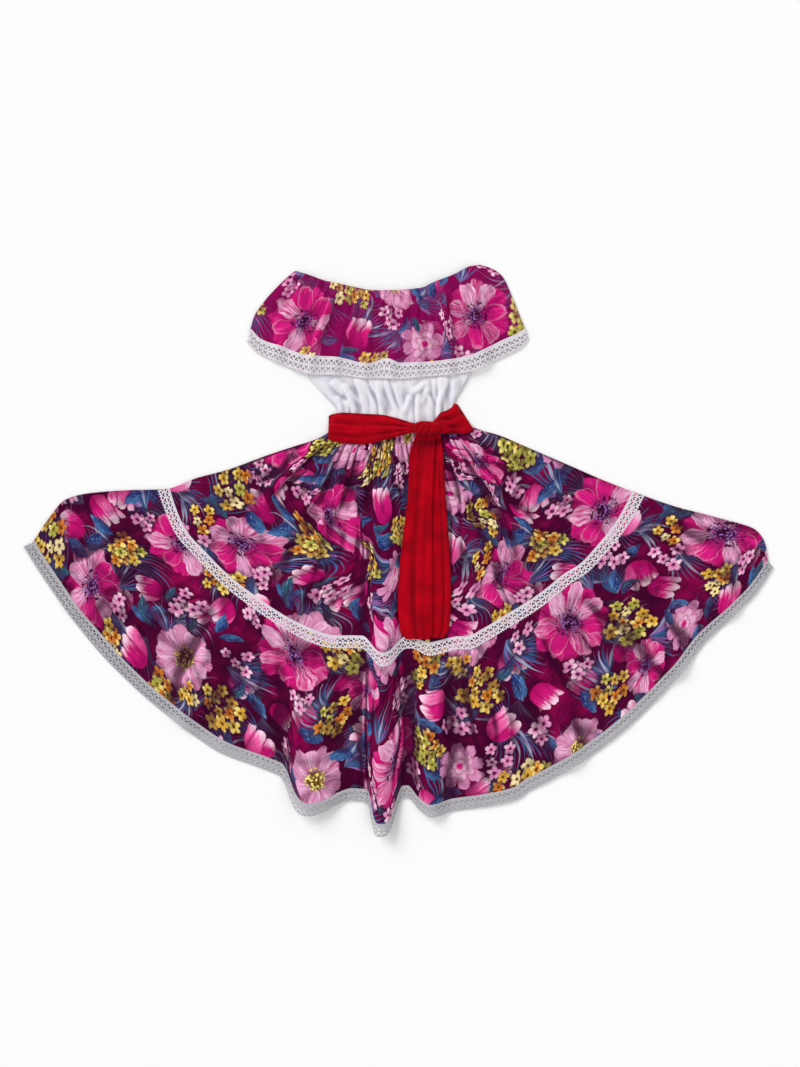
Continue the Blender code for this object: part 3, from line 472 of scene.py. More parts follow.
# The sash's outline: its top and bottom edge, from the left end to the knot and from the knot on. Every
# stretch runs in under the knot.
Band = namedtuple("Band", "top_x top_y low_x low_y")
LEFT_BAND = rows_of(
    Band,
    (-138, 27, -139, -17), (-134, 29, -135, -20), (-126, 31, -127, -22), (-107, 33, -108, -26),
    (-76, 31, -72, -29), (-37, 29, -30, -20), (-8, 23, -4, -13), (24, 13, 24, -6), (40, 10, 40, -5),
)
RIGHT_BAND = rows_of(
    Band,
    (62, 14, 62, -6), (70, 22, 70, -7), (79, 33, 79, -8), (90, 37, 96, -8), (101, 44, 120, -8),
    (104, 49, 132, -6), (107, 50, 139, -2), (110, 50, 142, 1),
)
BACK_BAND = rows_of(
    Band,
    (-138, 27, -139, -13), (-80, 34, -80, -16), (20, 32, 20, -16), (90, 42, 110, -10), (112, 50, 143, 1),
)
# The tails' side edges, down from the knot.
Tail = namedtuple("Tail", "left right y")
OVER_TAIL = rows_of(
    Tail,
    (34, 66, -3), (30, 68, -13), (18, 66, -50), (16, 63, -110), (9, 62, -180), (-1, 63, -270),
    (-4, 63, -340), (1, 62, -392), (12, 58, -405),
)
UNDER_TAIL = rows_of(
    Tail,
    (52, 75, -3), (56, 79, -13), (52, 84, -50), (50, 87, -110), (50, 92, -180), (50, 97, -250),
    (50, 99, -326), (50, 95, -384), (54, 86, -403),
)
KNOT_CENTRE = (51.5, 2.0)
KNOT_SIZE = (51.0, 28.0, 20.0)
KNOT_REST = 8.2
# How far the sash rises where it meets the knot, and over what stretch, in halves of the knot's size.
KNOT_LIFT = 6.5
KNOT_RUN = 1.3


def table(rows, *names):
    """The named columns of a table, as arrays."""
    return [np.array([getattr(row, name) for row in rows], float) for name in names]


def from_the_waist():
    """How far the frame's own origin lies from the waist's middle, in millimetres."""
    low = np.array(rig.box("sash_back")[0]) / MM
    left = min(min(place.top_x, place.low_x) for place in BACK_BAND)
    bottom = min(min(place.top_y, place.low_y) for place in BACK_BAND)
    return np.array([low[0] - left, low[1] - bottom, 0.0])


ORIGIN = from_the_waist()


def smooth_step(share):
    share = np.clip(share, 0, 1)
    return share * share * (3 - 2 * share)


def curve(at, places, values):
    """A smooth curve through the values at the places, which nowhere overshoots them."""
    steps = np.diff(places)
    slopes = np.diff(values) / steps
    same_way = slopes[:-1] * slopes[1:] > 0
    total = np.where(same_way, slopes[:-1] + slopes[1:], 1)
    middle = np.where(same_way, 2 * slopes[:-1] * slopes[1:] / total, 0)
    tangents = np.concatenate([slopes[:1], middle, slopes[-1:]])
    piece = np.clip(np.searchsorted(places, at, side="right") - 1, 0, len(steps) - 1)
    step = steps[piece]
    share = (at - places[piece]) / step
    rest = 1 - share
    start = (1 + 2 * share) * rest**2 * values[piece] + share * rest**2 * step * tangents[piece]
    end = share**2 * (3 - 2 * share) * values[piece + 1] - share**2 * rest * step * tangents[piece + 1]
    return start + end


def even(count):
    """This many shares from 0 to 1."""
    return np.linspace(0, 1, count)


def line_across(across, places):
    """Points at these shares of a line's width."""
    x, y = table(places, "x", "y")
    at = x[0] + across * (x[-1] - x[0])
    return np.stack([at, curve(at, x, y)], -1)


def ring_across(across, levels, further=0.0):
    """Points at these shares of a ring's angle, moved outwards."""
    angle, radius = table(levels, "angle", "radius")
    at = angle[0] + across * (angle[-1] - angle[0])
    out = curve(at, angle, radius) + further
    turn = np.radians(at)
    return np.stack([out * np.sin(turn), -out * np.cos(turn)], -1)


def lean_of(across, to):
    start, end = table(LEANS, "across", to)
    return curve(across, start, end)


def between(start, end, share):
    return start + (end - start) * share


def ruled(top, bottom, shares):
    """Rows of straight columns from one line to another."""
    return between(top[None], bottom[None], np.asarray(shares, float)[:, None, None])


def with_sides(plan, sides, along, across, reach):
    """The plan with its two side edges moved onto the real ones, and the columns near them with it."""
    rows = np.asarray(along, float)
    for name, column, inwards in (("left", 0, across), ("right", -1, 1 - across)):
        places, x, y = table(sides, "along", f"{name}_x", f"{name}_y")
        wanted = np.stack([curve(rows, places, x), curve(rows, places, y)], -1)
        shift = wanted - plan[:, column]
        plan = plan + shift[:, None] * np.exp(-inwards / reach)[None, :, None]
        plan[:, column] = wanted
    return plan


def rounded_ridge(distance, left, right):
    """1 on the ridge and 0 past its reach to the left or to the right."""
    share = np.clip(np.where(distance < 0, -distance / left, distance / right), 0, 1)
    return np.cos(share * math.pi / 2) ** 2


def fold_heights(folds, place, across, along, growth):
    """The height of every large fold at each point. `place` gives how far along its row a share lies."""
    height = np.zeros((len(along), len(across)))
    rows = np.asarray(along, float)[:, None]
    for fold in folds:
        distance = place(across[None], rows) - place(np.array([[fold.across]]), rows)
        faded = smooth_step((rows - fold.start) / FOLD_FADE) * smooth_step((fold.end - rows) / FOLD_FADE)
        height += fold.height * growth(rows) * faded * rounded_ridge(distance, fold.left, fold.right)
    return height


def gathers(across, along, made):
    """The height of gathers, each with a height and a length of its own."""
    number = np.floor(np.clip(across, 0, 1 - 1e-9) * made.count)
    ridge = np.sin(math.pi * (across * made.count - number)) ** 2
    uneven = 0.72 + 0.28 * np.sin(2.4 * number)
    length = made.reach * (0.8 + 0.4 * np.sin(1.7 * number + 1))
    fade = 1 - smooth_step(np.asarray(along, float)[:, None] / length[None])
    return made.height * (uneven * ridge)[None] * fade


def rows_past(along, start, over):
    """0 in the rows before the start and 1 in those past it, with a soft step between."""
    return smooth_step((along - start) / over)[:, None]


def rise_at(along, rises):
    return np.interp(along, *table(rises, *Rise._fields))


def folded(across, shares_of, drop, length):
    """How far the folds carry a level line outwards."""
    out = np.zeros(len(across))
    for fold in SKIRT_FOLDS:
        distance = (shares_of(across) - shares_of(np.array([fold.across]))) * length
        out += getattr(fold, drop) * rounded_ridge(distance, fold.left, fold.right)
    return out


def hem_drops(across):
    """How far the folds and the tongue carry the hem outwards. The tongue has steep sides and a full tip."""
    out = folded(across, lambda share: lean_of(share, "hem"), "hem_drop", HEM_LENGTH)
    distance = (lean_of(across, "hem") - lean_of(np.array([TONGUE.across]), "hem")) * HEM_LENGTH
    return out + TONGUE.out * np.sin(math.pi / 2 * rounded_ridge(distance, TONGUE.left, TONGUE.right))


def skirt_place(across, along):
    """How far along its row a column of the skirt lies, from the left."""
    waist = WAIST_LENGTH * lean_of(across, "waist")
    tier = TIER_LENGTH * across
    hem = HEM_LENGTH * lean_of(across, "hem")
    return np.where(along < 1, between(waist, tier, along), between(tier, hem, np.maximum(along, 1) - 1))


def skirt_growth(along):
    """Folds stand a little higher the further they are from the waist."""
    return 0.75 + 0.25 * along


def flounce_growth(along):
    return 0.7 + 0.3 * along


def bodice_place(across, along):
    return np.broadcast_to(BODICE_WIDTH * across, np.broadcast_shapes(across.shape, along.shape))


def flounce_place(across, along):
    return between(NECK_LENGTH, FLOUNCE_LENGTH, along) * across


def steady(along):
    """Folds stand equally high all the way down."""
    return np.ones_like(along)


def creased(plan, creases):
    """How far the creases lift each point of a plan."""
    height = np.zeros(plan.shape[:2])
    for number, crease in enumerate(creases):
        way = np.array([crease.to_x - crease.x, crease.to_y - crease.y], float)
        length = math.hypot(*way)
        way /= length
        offset = plan - [crease.x, crease.y]
        share = (offset @ way) / length
        right = way[0] * offset[..., 1] - way[1] * offset[..., 0]
        right += CREASE_SWAY * length * np.sin(math.pi * share * (1 + number % 3)) * (-1) ** number
        faded = smooth_step(share / CREASE_START) * smooth_step((1 - share) / CREASE_END)
        ridge = rounded_ridge(right, crease.left, crease.right)
        if crease.height < 0:
            ridge -= rounded_ridge(right, SHOULDERS * crease.left, SHOULDERS * crease.right)
        height += crease.height * CREASE_DEPTH * faded * ridge
    return height


def unevenness(plan, kind):
    """Soft bumps and hollows of about one size, made of a few crossing waves."""
    draw = np.random.default_rng(kind.seed)
    total = np.zeros(plan.shape[:2])
    for _ in range(WAVES):
        angle = draw.uniform(0, math.pi)
        length = kind.size * draw.uniform(0.7, 1.8)
        along = plan[..., 0] * math.cos(angle) + plan[..., 1] * math.sin(angle)
        sway = np.sin(plan[..., 0] / kind.size * draw.uniform(0.6, 1.2) + draw.uniform(0, 6))
        total += np.sin(2 * math.pi * along / length + sway + draw.uniform(0, 2 * math.pi))
    return kind.height * total / math.sqrt(WAVES)


def kept_above(height, lowest, softness=0.5):
    """The heights, but eased so that they stay above the lowest one."""
    over = (height - lowest) / softness
    eased = np.where(over > 20, over, np.log1p(np.exp(np.minimum(over, 20))))
    return lowest + softness * eased


def edged(height, edge, across, reach):
    """The heights brought down to those of the side edges, near the edges."""
    inner = smooth_step(np.minimum(across, 1 - across) / reach)[None]
    return between(edge[:, None], height, inner)


def skirt_plan(waist, tier, hem, across, along):
    """The plan of both tiers, from the waist over the tier seam to the hem."""
    plan = np.concatenate([ruled(waist, tier, along[along <= 1]), ruled(tier, hem, along[along > 1] - 1)])
    return with_sides(plan, SKIRT_SIDES, along, across, SIDE_REACH)


def hem_edge(across, inwards=0.0):
    """The plan of the front hem lace's free edge, or of a line this far inside it."""
    return ring_across(lean_of(across, "hem"), HEM_LINE, hem_drops(across) - inwards)


def front_skirt(across, along):
    """The underside of the front skirt, both tiers."""
    along = np.asarray(along, float)
    gathered = lean_of(across, "waist")
    tier = ring_across(across, TIER_LINE, folded(across, lambda share: share, "tier_drop", TIER_LENGTH))
    plan = skirt_plan(line_across(gathered, WAIST_SEAM), tier, hem_edge(across, LACE_DROP), across, along)
    height = FRONT_REST + gathers(gathered, along, WAIST_GATHERS)
    height += rows_past(along, UNDER_SASH, PAST_SASH) * gathers(gathered, along, FINE_WAIST_GATHERS)
    height += fold_heights(SKIRT_FOLDS, skirt_place, across, along, skirt_growth)
    height += creased(plan, UPPER_CREASES + LOWER_CREASES)
    uneven = unevenness(plan, BROAD_SKIRT_UNEVEN) + unevenness(plan, FINE_SKIRT_UNEVEN)
    height = kept_above(height + rows_past(along, 0, SKIRT_CALM) * uneven, LOWEST_FRONT)
    return np.dstack([plan, edged(height, rise_at(along, SKIRT_EDGE_RISES), across, SKIRT_EDGE)])


def back_skirt(across, along):
    """The underside of the back skirt, both tiers."""
    along = np.asarray(along, float)
    tier, hem = ring_across(across, BACK_TIER_LINE), ring_across(across, BACK_HEM_LINE, -LACE_DROP)
    plan = skirt_plan(line_across(across, WAIST_SEAM), tier, hem, across, along)
    rise = rise_at(along, BACK_SKIRT_RISES)[:, None]
    lifted = np.minimum(rise + np.maximum(creased(plan, BACK_CREASES), 0), HIGHEST_BACK)
    return np.dstack([plan, np.maximum(rise, lifted)])


def bodice(across, along, rises, gathered):
    """The underside of one half of the bodice."""
    top = line_across((across * BODICE_TOP + BODICE_INSET) / NECK_LENGTH, NECKLINE) - [0, BODICE_BELOW_NECK]
    plan = ruled(line_across(across, WAIST_SEAM) + [0, 2 * SEAM_GAP], top, along)
    plan = with_sides(plan, BODICE_SIDES, along, across, BODICE_SIDE_REACH)
    rise = rise_at(along, rises)
    height = np.repeat(rise[:, None], len(across), 1)
    if gathered:
        low = 1 - rows_past(along, BODICE_FOLDS_END, BODICE_FOLDS_FADE)
        height += gathers(across, along, BODICE_GATHERS)
        height += low * fold_heights(BODICE_FOLDS, bodice_place, across, along, steady)
        creases = creased(plan, BODICE_CREASES)
        height += creases * (1 - rows_past(along, BODICE_CREASES_END, BODICE_CREASES_FADE))
        height = kept_above(height + low * unevenness(plan, BODICE_UNEVEN), LOWEST_FRONT)
        height = edged(height, rise, across, BODICE_EDGE)
    # Rows run from the neck side down, as in every other panel.
    return np.dstack([plan, height])[::-1]


def flounce_line(across, places, smaller):
    """A line along the flounce's lower edge, further in by this much."""
    low = curve(across, *table(FLOUNCE_LEANS, "x", "y"))
    return line_across(low, places) + [0, smaller]


def flounce_plan(across, along, smaller):
    """The plan of one half of the flounce, whose level edges lie further in by this much."""
    top = line_across(across, NECKLINE) - [0, smaller]
    plan = ruled(top, flounce_line(across, FLOUNCE_HEM, smaller), along)
    return with_sides(plan, FLOUNCE_SIDES, along, across, SIDE_REACH)


def over_bodice(across, along):
    """1 where the flounce lies over the bodice and 0 outside it."""
    left = OVER_BODICE.start + OVER_BODICE.left_in * along
    right = OVER_BODICE.end - OVER_BODICE.right_in * along
    return smooth_step((across - left) / OVER_BODICE.step) * smooth_step((right - across) / OVER_BODICE.step)


def front_flounce(across, along):
    """The underside of the front flounce."""
    along = np.asarray(along, float)
    plan = flounce_plan(across, along, 0)
    over = rise_at(along, FLOUNCE_RISES)[:, None] - FRONT_REST
    height = FRONT_REST + over * over_bodice(across[None], along[:, None])
    height += gathers(across, along, NECK_GATHERS) + gathers(across, along, FINE_NECK_GATHERS)
    height += fold_heights(FLOUNCE_FOLDS, flounce_place, across, along, flounce_growth)
    lowest = np.maximum(height - FLOUNCE_DIP, LOWEST_FRONT)
    height += creased(plan, FLOUNCE_CREASES)
    height += rows_past(along, 0, FLOUNCE_CALM) * unevenness(plan, FLOUNCE_UNEVEN)
    edge = np.where(along < FLOUNCE_SEAM_END, SIDE_SEAM, FRONT_REST)
    return np.dstack([plan, edged(kept_above(height, lowest), edge, across, FLOUNCE_EDGE)])


def back_flounce(across, along):
    height = rise_at(along, BACK_FLOUNCE_RISES)
    return np.dstack([flounce_plan(across, along, BACK_SMALLER), np.repeat(height[:, None], len(across), 1)])


def outwards(points):
    """The direction that faces up and out of each point of a grid."""
    down = np.gradient(points, axis=0)
    right = np.gradient(points, axis=1)
    out = np.cross(down, right)
    return out / np.linalg.norm(out, axis=2, keepdims=True)


def run_of(points):
    """How far each row of a grid lies from its first one, on average."""
    steps = np.linalg.norm(np.diff(points, axis=0), axis=2).mean(axis=1)
    return np.concatenate([[0], np.cumsum(steps)])


def cut_from(points, panel):
    """Where each point lies on the cut cloth, a strip that widens downwards as part of a ring does. In
    gathered cloth, most of what the gathers take up is hidden on their slopes."""
    steps = np.diff(points, axis=1)
    taken = np.hypot(np.linalg.norm(steps[..., :2], axis=2), panel.hides * steps[..., 2])
    share = np.concatenate([np.zeros((len(points), 1)), np.cumsum(taken, axis=1)], axis=1)
    share = smoothed(share / share[:, -1:], 12, (0,)) - 0.5
    down = run_of(points)
    angle = (panel.bottom - panel.top) / down[-1]
    radius = (panel.top / angle + down)[:, None]
    return np.dstack([radius * np.sin(angle * share), radius[0] - radius * np.cos(angle * share)])


def smoothed(values, passes, axes=(0, 1)):
    """Values evened out over a grid, down its columns and along its rows."""
    for _ in range(passes):
        for axis in axes:
            places = np.arange(values.shape[axis])
            before = np.take(values, np.maximum(places - 1, 0), axis)
            after = np.take(values, np.minimum(places + 1, places[-1]), axis)
            values = values / 2 + (before + after) / 4
    return values


def turned(points, degrees):
    turn = math.radians(degrees)
    return points @ np.array([[math.cos(turn), math.sin(turn)], [-math.sin(turn), math.cos(turn)]])


def grid_faces(rows, columns):
    """The faces of a grid of points."""
    corner = np.arange(rows * columns).reshape(rows, columns)
    return np.stack([corner[:-1, :-1], corner[1:, :-1], corner[1:, 1:], corner[:-1, 1:]], -1).reshape(-1, 4)


def closed_faces(rows, columns):
    """The faces of the shell between two grids: the under one, the upper one and the rim."""
    faces = grid_faces(rows, columns)
    corner = np.arange(rows * columns).reshape(rows, columns)
    ring = np.concatenate([corner[:-1, 0], corner[-1, :-1], corner[:0:-1, -1], corner[0, :0:-1]])
    following = np.roll(ring, -1)
    rim = np.stack([ring, following, following + corner.size, ring + corner.size], -1)
    return np.concatenate([faces[:, ::-1], faces + corner.size, rim])


def plain_mesh(name, points, faces):
    mesh = bpy.data.meshes.new(name)
    mesh.from_pydata(points, [], [[int(corner) for corner in face] for face in faces])
    mesh.update()
    return mesh


def placed_mesh(name, points, faces):
    """A mesh in metres, from points in millimetres round the waist's middle."""
    return plain_mesh(name, ((points + ORIGIN) * MM).tolist(), faces)


def add_object(name, mesh):
    piece = bpy.data.objects.new(name, mesh)
    bpy.context.collection.objects.link(piece)
    return piece


def add_piece(name, node, mesh, slot, material=None):
    """A finished piece, which stands for one of the frame's nodes."""
    if material:
        mesh.materials.append(material)
    piece = add_object(name, mesh)
    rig.ride(piece, "root")
    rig.slot(piece, slot)
    if node:
        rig.replaces(piece, node)
    return piece


def shell_mesh(name, grid, thickness):
    """A piece of cloth as a smooth closed shell just above a grid."""
    out = outwards(grid)
    points = np.concatenate([grid + CLEARANCE * out, grid + (CLEARANCE + thickness / MM) * out])
    mesh = placed_mesh(name, points.reshape(-1, 3), closed_faces(*grid.shape[:2]))
    mesh.shade_smooth()
    mesh.set_sharp_from_angle(angle=math.radians(62))
    return mesh


# The print's repeat, charted in millimetres. A bloom, a leaf and a small flower each have a radius,
# and a turn in degrees.
REPEAT = 620.0
ANEMONE, PEONY, TULIP, DAISY = range(4)
GOLD, BLOSSOM = range(2)
Motif = namedtuple("Motif", "kind x y size turn")
BLOOMS = rows_of(
    Motif,
    (ANEMONE, 85, 80, 76, 20), (TULIP, 205, 150, 35, 200), (TULIP, 248, 118, 28, 250),
    (PEONY, 300, 48, 46, 0), (TULIP, 386, 105, 36, 30), (DAISY, 490, 75, 64, 10),
    (TULIP, 578, 165, 32, 120), (PEONY, 62, 214, 40, 40), (ANEMONE, 330, 225, 68, 75),
    (TULIP, 172, 262, 38, 320), (TULIP, 452, 200, 30, 80), (ANEMONE, 530, 300, 74, 140),
    (TULIP, 60, 338, 36, 10), (PEONY, 200, 372, 48, 15), (TULIP, 396, 345, 34, 210),
    (TULIP, 428, 378, 28, 170), (ANEMONE, 326, 470, 70, 5), (DAISY, 108, 470, 56, 30),
    (TULIP, 214, 512, 32, 60), (PEONY, 500, 450, 44, 70), (TULIP, 576, 518, 36, 300),
    (TULIP, 440, 562, 36, 100), (TULIP, 30, 560, 30, 220), (ANEMONE, 222, 598, 50, 60),
)
# A cluster of small flowers: how many there are, how far out they reach and how large each is.
Cluster = namedtuple("Cluster", "kind x y count spread size")
CLUSTERS = rows_of(
    Cluster,
    (GOLD, 186, 62, 12, 38, 13), (GOLD, 408, 28, 10, 34, 13), (GOLD, 118, 280, 12, 38, 13),
    (GOLD, 424, 272, 11, 36, 13), (GOLD, 268, 322, 10, 35, 12), (GOLD, 16, 420, 11, 38, 13),
    (GOLD, 424, 474, 12, 40, 13), (GOLD, 158, 556, 9, 32, 12), (GOLD, 536, 590, 11, 36, 13),
    (GOLD, 592, 226, 8, 30, 12), (GOLD, 330, 130, 7, 27, 12), (GOLD, 590, 400, 8, 30, 13),
    (GOLD, 470, 10, 5, 22, 11), (GOLD, 250, 232, 5, 22, 11), (GOLD, 390, 596, 5, 24, 11),
    (BLOSSOM, 148, 196, 5, 26, 13), (BLOSSOM, 376, 168, 4, 20, 12), (BLOSSOM, 250, 188, 4, 24, 13),
    (BLOSSOM, 516, 176, 5, 28, 14), (BLOSSOM, 20, 146, 4, 22, 12), (BLOSSOM, 112, 396, 5, 26, 13),
    (BLOSSOM, 312, 372, 5, 28, 13), (BLOSSOM, 250, 432, 4, 20, 12), (BLOSSOM, 396, 412, 4, 22, 14),
    (BLOSSOM, 566, 462, 5, 26, 12), (BLOSSOM, 492, 528, 5, 26, 14), (BLOSSOM, 96, 604, 4, 22, 13),
    (BLOSSOM, 352, 570, 6, 30, 13), (BLOSSOM, 22, 498, 4, 22, 14), (BLOSSOM, 598, 60, 4, 24, 12),
    (BLOSSOM, 470, 340, 4, 18, 12),
)
# Leaves fan out from a point: how many there are, the middle one's turn, and the angle between two.
Fan = namedtuple("Fan", "x y count turn step size")
LEAF_FANS = rows_of(
    Fan,
    (160, 118, 5, 70, 28, 27), (250, 78, 4, 330, 32, 25), (430, 128, 5, 110, 27, 28),
    (560, 110, 4, 20, 34, 26), (120, 232, 4, 200, 30, 25), (232, 268, 5, 20, 30, 28),
    (300, 318, 4, 250, 32, 24), (400, 300, 4, 150, 30, 26), (470, 390, 5, 250, 26, 28),
    (596, 366, 4, 70, 32, 26), (50, 392, 5, 160, 28, 27), (150, 410, 4, 300, 32, 25),
    (254, 538, 4, 200, 30, 26), (392, 524, 5, 320, 28, 27), (520, 548, 4, 60, 32, 28),
    (36, 268, 4, 20, 30, 25), (196, 452, 4, 90, 34, 24), (600, 10, 4, 230, 30, 26),
    (100, 560, 5, 340, 28, 27), (352, 8, 4, 150, 30, 24),
)
# A spray of thin strokes, like grass.
Spray = namedtuple("Spray", "x y size turn")
SPRAYS = rows_of(
    Spray,
    (152, 168, 52, 20), (282, 150, 46, 200), (452, 262, 50, 300), (566, 222, 44, 90), (116, 336, 50, 140),
    (262, 398, 48, 330), (372, 296, 42, 60), (28, 478, 48, 250), (176, 498, 52, 110), (286, 560, 46, 350),
    (404, 496, 46, 190), (566, 566, 50, 20), (16, 36, 48, 280), (352, 108, 42, 80), (600, 322, 48, 210),
    (232, 244, 44, 270), (480, 150, 44, 340), (90, 150, 40, 60), (440, 610, 46, 130), (500, 380, 40, 30),
)
GOLDEN_TURN = 137.5
# How many tints a motif may have.
CODES = 64


def cluster_flowers():
    """Every small flower, in two layers so that neighbours overlap."""
    layers = ([], [])
    for cluster in CLUSTERS:
        for number in range(cluster.count):
            out = cluster.spread * math.sqrt((number + 0.4) / cluster.count)
            turn = math.radians(GOLDEN_TURN * number + cluster.x)
            x, y = cluster.x + out * math.cos(turn), cluster.y + out * math.sin(turn)
            size = cluster.size * (0.85 + 0.3 * (number * 0.618 % 1))
            layers[number % 2].append(Motif(cluster.kind, x, y, size, GOLDEN_TURN * number))
    return layers


def fan_leaves():
    """Every leaf, in two layers, pointing out from its fan's own point."""
    layers = ([], [])
    for fan in LEAF_FANS:
        for number in range(fan.count):
            own = (number * 0.618 + fan.x * 0.01) % 1
            turn = fan.turn + fan.step * (number - (fan.count - 1) / 2) + 30 * (own - 0.5)
            size = fan.size * (0.7 + 0.5 * own)
            way = math.radians(turn)
            out = size * (1.0 + 0.9 * (own * 3.3 % 1))
            place = (fan.x + out * math.cos(way), fan.y + out * math.sin(way))
            layers[number % 2].append(Motif(0, *place, size, turn))
    return layers


def moved_on(motifs, kind, x, y, turn, size):
    """The same motifs again, further on in the repeat."""
    return [Motif(kind, m.x + x, m.y + y, m.size * size, m.turn + turn) for m in motifs]


# Each layer of the print, from the lowest up: what is drawn, its motifs, and how slender they are.
Layer = namedtuple("Layer", "drawn motifs slenderness")
STROKES = [Motif(0, *spray) for spray in SPRAYS]
TULIPS = [bloom for bloom in BLOOMS if bloom.kind == TULIP]
LEAVES_LOW, LEAVES_HIGH = fan_leaves()
LAYERS = (
    Layer("spray", moved_on(STROKES, 0, 96, 143, 137, 1.1), 1.0),
    Layer("leaf", moved_on(LEAVES_LOW, 0, 205, 118, 80, 0.9), 2.0),
    Layer("tulip", moved_on(TULIPS, 0, 148, 62, 100, 0.85), 1.0),
    Layer("spray", STROKES, 1.0),
    Layer("spray", moved_on(STROKES, 0, 331, 77, 250, 1.25), 1.0),
    Layer("bloom", BLOOMS, 1.0),
    Layer("leaf", LEAVES_HIGH, 2.0),
    *(Layer("small_flower", flowers, 1.0) for flowers in cluster_flowers()),
)


def layer_name(number):
    return f"print_{number}_{LAYERS[number].drawn}"


def turned_back(away, cos, sin):
    """A way on the cloth, as its two parts along a motif's own axes."""
    return away[..., 0] * cos + away[..., 1] * sin, away[..., 1] * cos - away[..., 0] * sin


def print_layer(mesh, name, layer, cut):
    """Each face gets the motif that it lies nearest to. Its corners store their place on that motif, whose
    radius is 1, and the motif's kind, with a fraction of its own for its tint."""
    kind, x, y, size, turn = (values.astype(np.float32) for values in table(layer.motifs, *Motif._fields))
    places, centre = np.stack([x, y], -1), cut.mean(axis=1)
    cos, sin = np.cos(np.radians(turn)), np.sin(np.radians(turn))
    chosen = np.zeros(len(cut), int)
    batch = 20000
    for start in range(0, len(cut), batch):
        away = centre[start : start + batch, None] - places
        away -= REPEAT * np.round(away / REPEAT)
        own_x, own_y = turned_back(away, cos, sin)
        far = (own_x**2 + (own_y * layer.slenderness) ** 2) / size**2
        chosen[start : start + batch] = far.argmin(axis=1)
    middle = places[chosen]
    middle += REPEAT * np.round((centre - middle) / REPEAT)
    cos, sin, size = (values[chosen][:, None] for values in (cos, sin, size))
    tint = (np.floor(CODES * (0.05 + 0.9 * (np.arange(len(kind)) * 0.618 % 1))) + 0.5) / CODES
    own_x, own_y = turned_back(cut - middle[:, None], cos, sin)
    code = np.broadcast_to((kind + tint)[chosen][:, None], own_x.shape)
    own = np.stack([own_x / size, own_y / size, code], -1)
    stored = mesh.attributes.new(name, "FLOAT_VECTOR", "CORNER")
    stored.data.foreach_set("vector", own.astype(np.float32).ravel())


def set_cut(mesh, cut, printed):
    """Stores where each corner lies on the cut cloth, and the print there. Both sides share one cut."""
    corners = np.empty(len(mesh.loops), int)
    mesh.loops.foreach_get("vertex_index", corners)
    both = np.concatenate([cut.reshape(-1, 2), cut.reshape(-1, 2)])[corners]
    mesh.uv_layers.new(name="cut").data.foreach_set("uv", (both * MM).astype(np.float32).ravel())
    if printed:
        for number, layer in enumerate(LAYERS):
            print_layer(mesh, layer_name(number), layer, both.reshape(-1, 4, 2))


def arithmetic(operation, swapped=False):
    """How a sum of two numbers in a node tree is made."""
    return lambda self, other: calculate(operation, *((other, self) if swapped else (self, other)))


class Number:
    """A number or colour in a node tree, on which arithmetic adds Math nodes."""

    def __init__(self, graph, socket):
        self.graph = graph
        self.socket = socket

    def __abs__(self):
        return calculate("ABSOLUTE", self)

    __add__ = arithmetic("ADD")
    __radd__ = arithmetic("ADD", swapped=True)
    __sub__ = arithmetic("SUBTRACT")
    __rsub__ = arithmetic("SUBTRACT", swapped=True)
    __mul__ = arithmetic("MULTIPLY")
    __rmul__ = arithmetic("MULTIPLY", swapped=True)
    __truediv__ = arithmetic("DIVIDE")
    __pow__ = arithmetic("POWER")
    __gt__ = arithmetic("GREATER_THAN")
    __lt__ = arithmetic("LESS_THAN")


class Graph:
    """Adds nodes to a tree and links them."""

    def __init__(self, tree):
        self.tree = tree

    def put(self, value, socket):
        if isinstance(value, Number):
            self.tree.links.new(value.socket, socket)
        else:
            socket.default_value = value

    def out(self, node, output=0):
        return Number(self, node.outputs[output])

    def node(self, kind, inputs=None, **settings):
        """A new node. Its inputs are named, or numbered."""
        node = self.tree.nodes.new(kind)
        for name, value in settings.items():
            setattr(node, name, value)
        for name, value in (inputs or {}).items():
            self.put(value, node.inputs[name])
        return node

    def add(self, kind, inputs=None, output=0, **settings):
        """What a new node gives out."""
        return self.out(self.node(kind, inputs, **settings), output)

    def stored(self, name, output="Vector"):
        return self.add("ShaderNodeAttribute", output=output, attribute_name=name)

    def cut(self):
        """The place on the cut cloth."""
        return self.add("ShaderNodeUVMap", uv_map="cut")

    def place(self):
        return self.add("ShaderNodeTexCoord", output="Object")

    def bump(self, shader, height, strength, distance):
        inputs = {"Height": height, "Strength": strength, "Distance": distance}
        self.put(self.add("ShaderNodeBump", inputs, "Normal"), shader.inputs["Normal"])


def combine(kind, inputs, output=0, **settings):
    """What a new node gives out, in the tree of the numbers that go into it."""
    graph = next(value.graph for value in inputs.values() if isinstance(value, Number))
    return graph.add(kind, inputs, output, **settings)


def calculate(operation, *values, clamp=False):
    return combine("ShaderNodeMath", dict(enumerate(values)), operation=operation, use_clamp=clamp)


def shown(inside, softness):
    """1 inside an edge and 0 outside it, with a soft step between."""
    return calculate("MULTIPLY_ADD", inside, 1 / softness, 0.5, clamp=True)


def is_kind(kind, number):
    return calculate("COMPARE", kind, number, 0.5)


def mix(share, start, end):
    return combine("ShaderNodeMix", {0: share, 6: start, 7: end}, 2, data_type="RGBA", clamp_factor=True)


def vector(x, y, z=0.0):
    return combine("ShaderNodeCombineXYZ", {0: x, 1: y, 2: z})


def parts(place):
    node = place.graph.node("ShaderNodeSeparateXYZ", {0: place})
    return [place.graph.out(node, axis) for axis in range(3)]


def noise(place, scale, detail=1.0, output=0):
    return combine("ShaderNodeTexNoise", {"Vector": place, "Scale": scale, "Detail": detail}, output)


def chance(number):
    """A number from 0 to 1 that stays the same for the same number in."""
    return combine("ShaderNodeTexWhiteNoise", {"W": number}, "Value", noise_dimensions="1D")


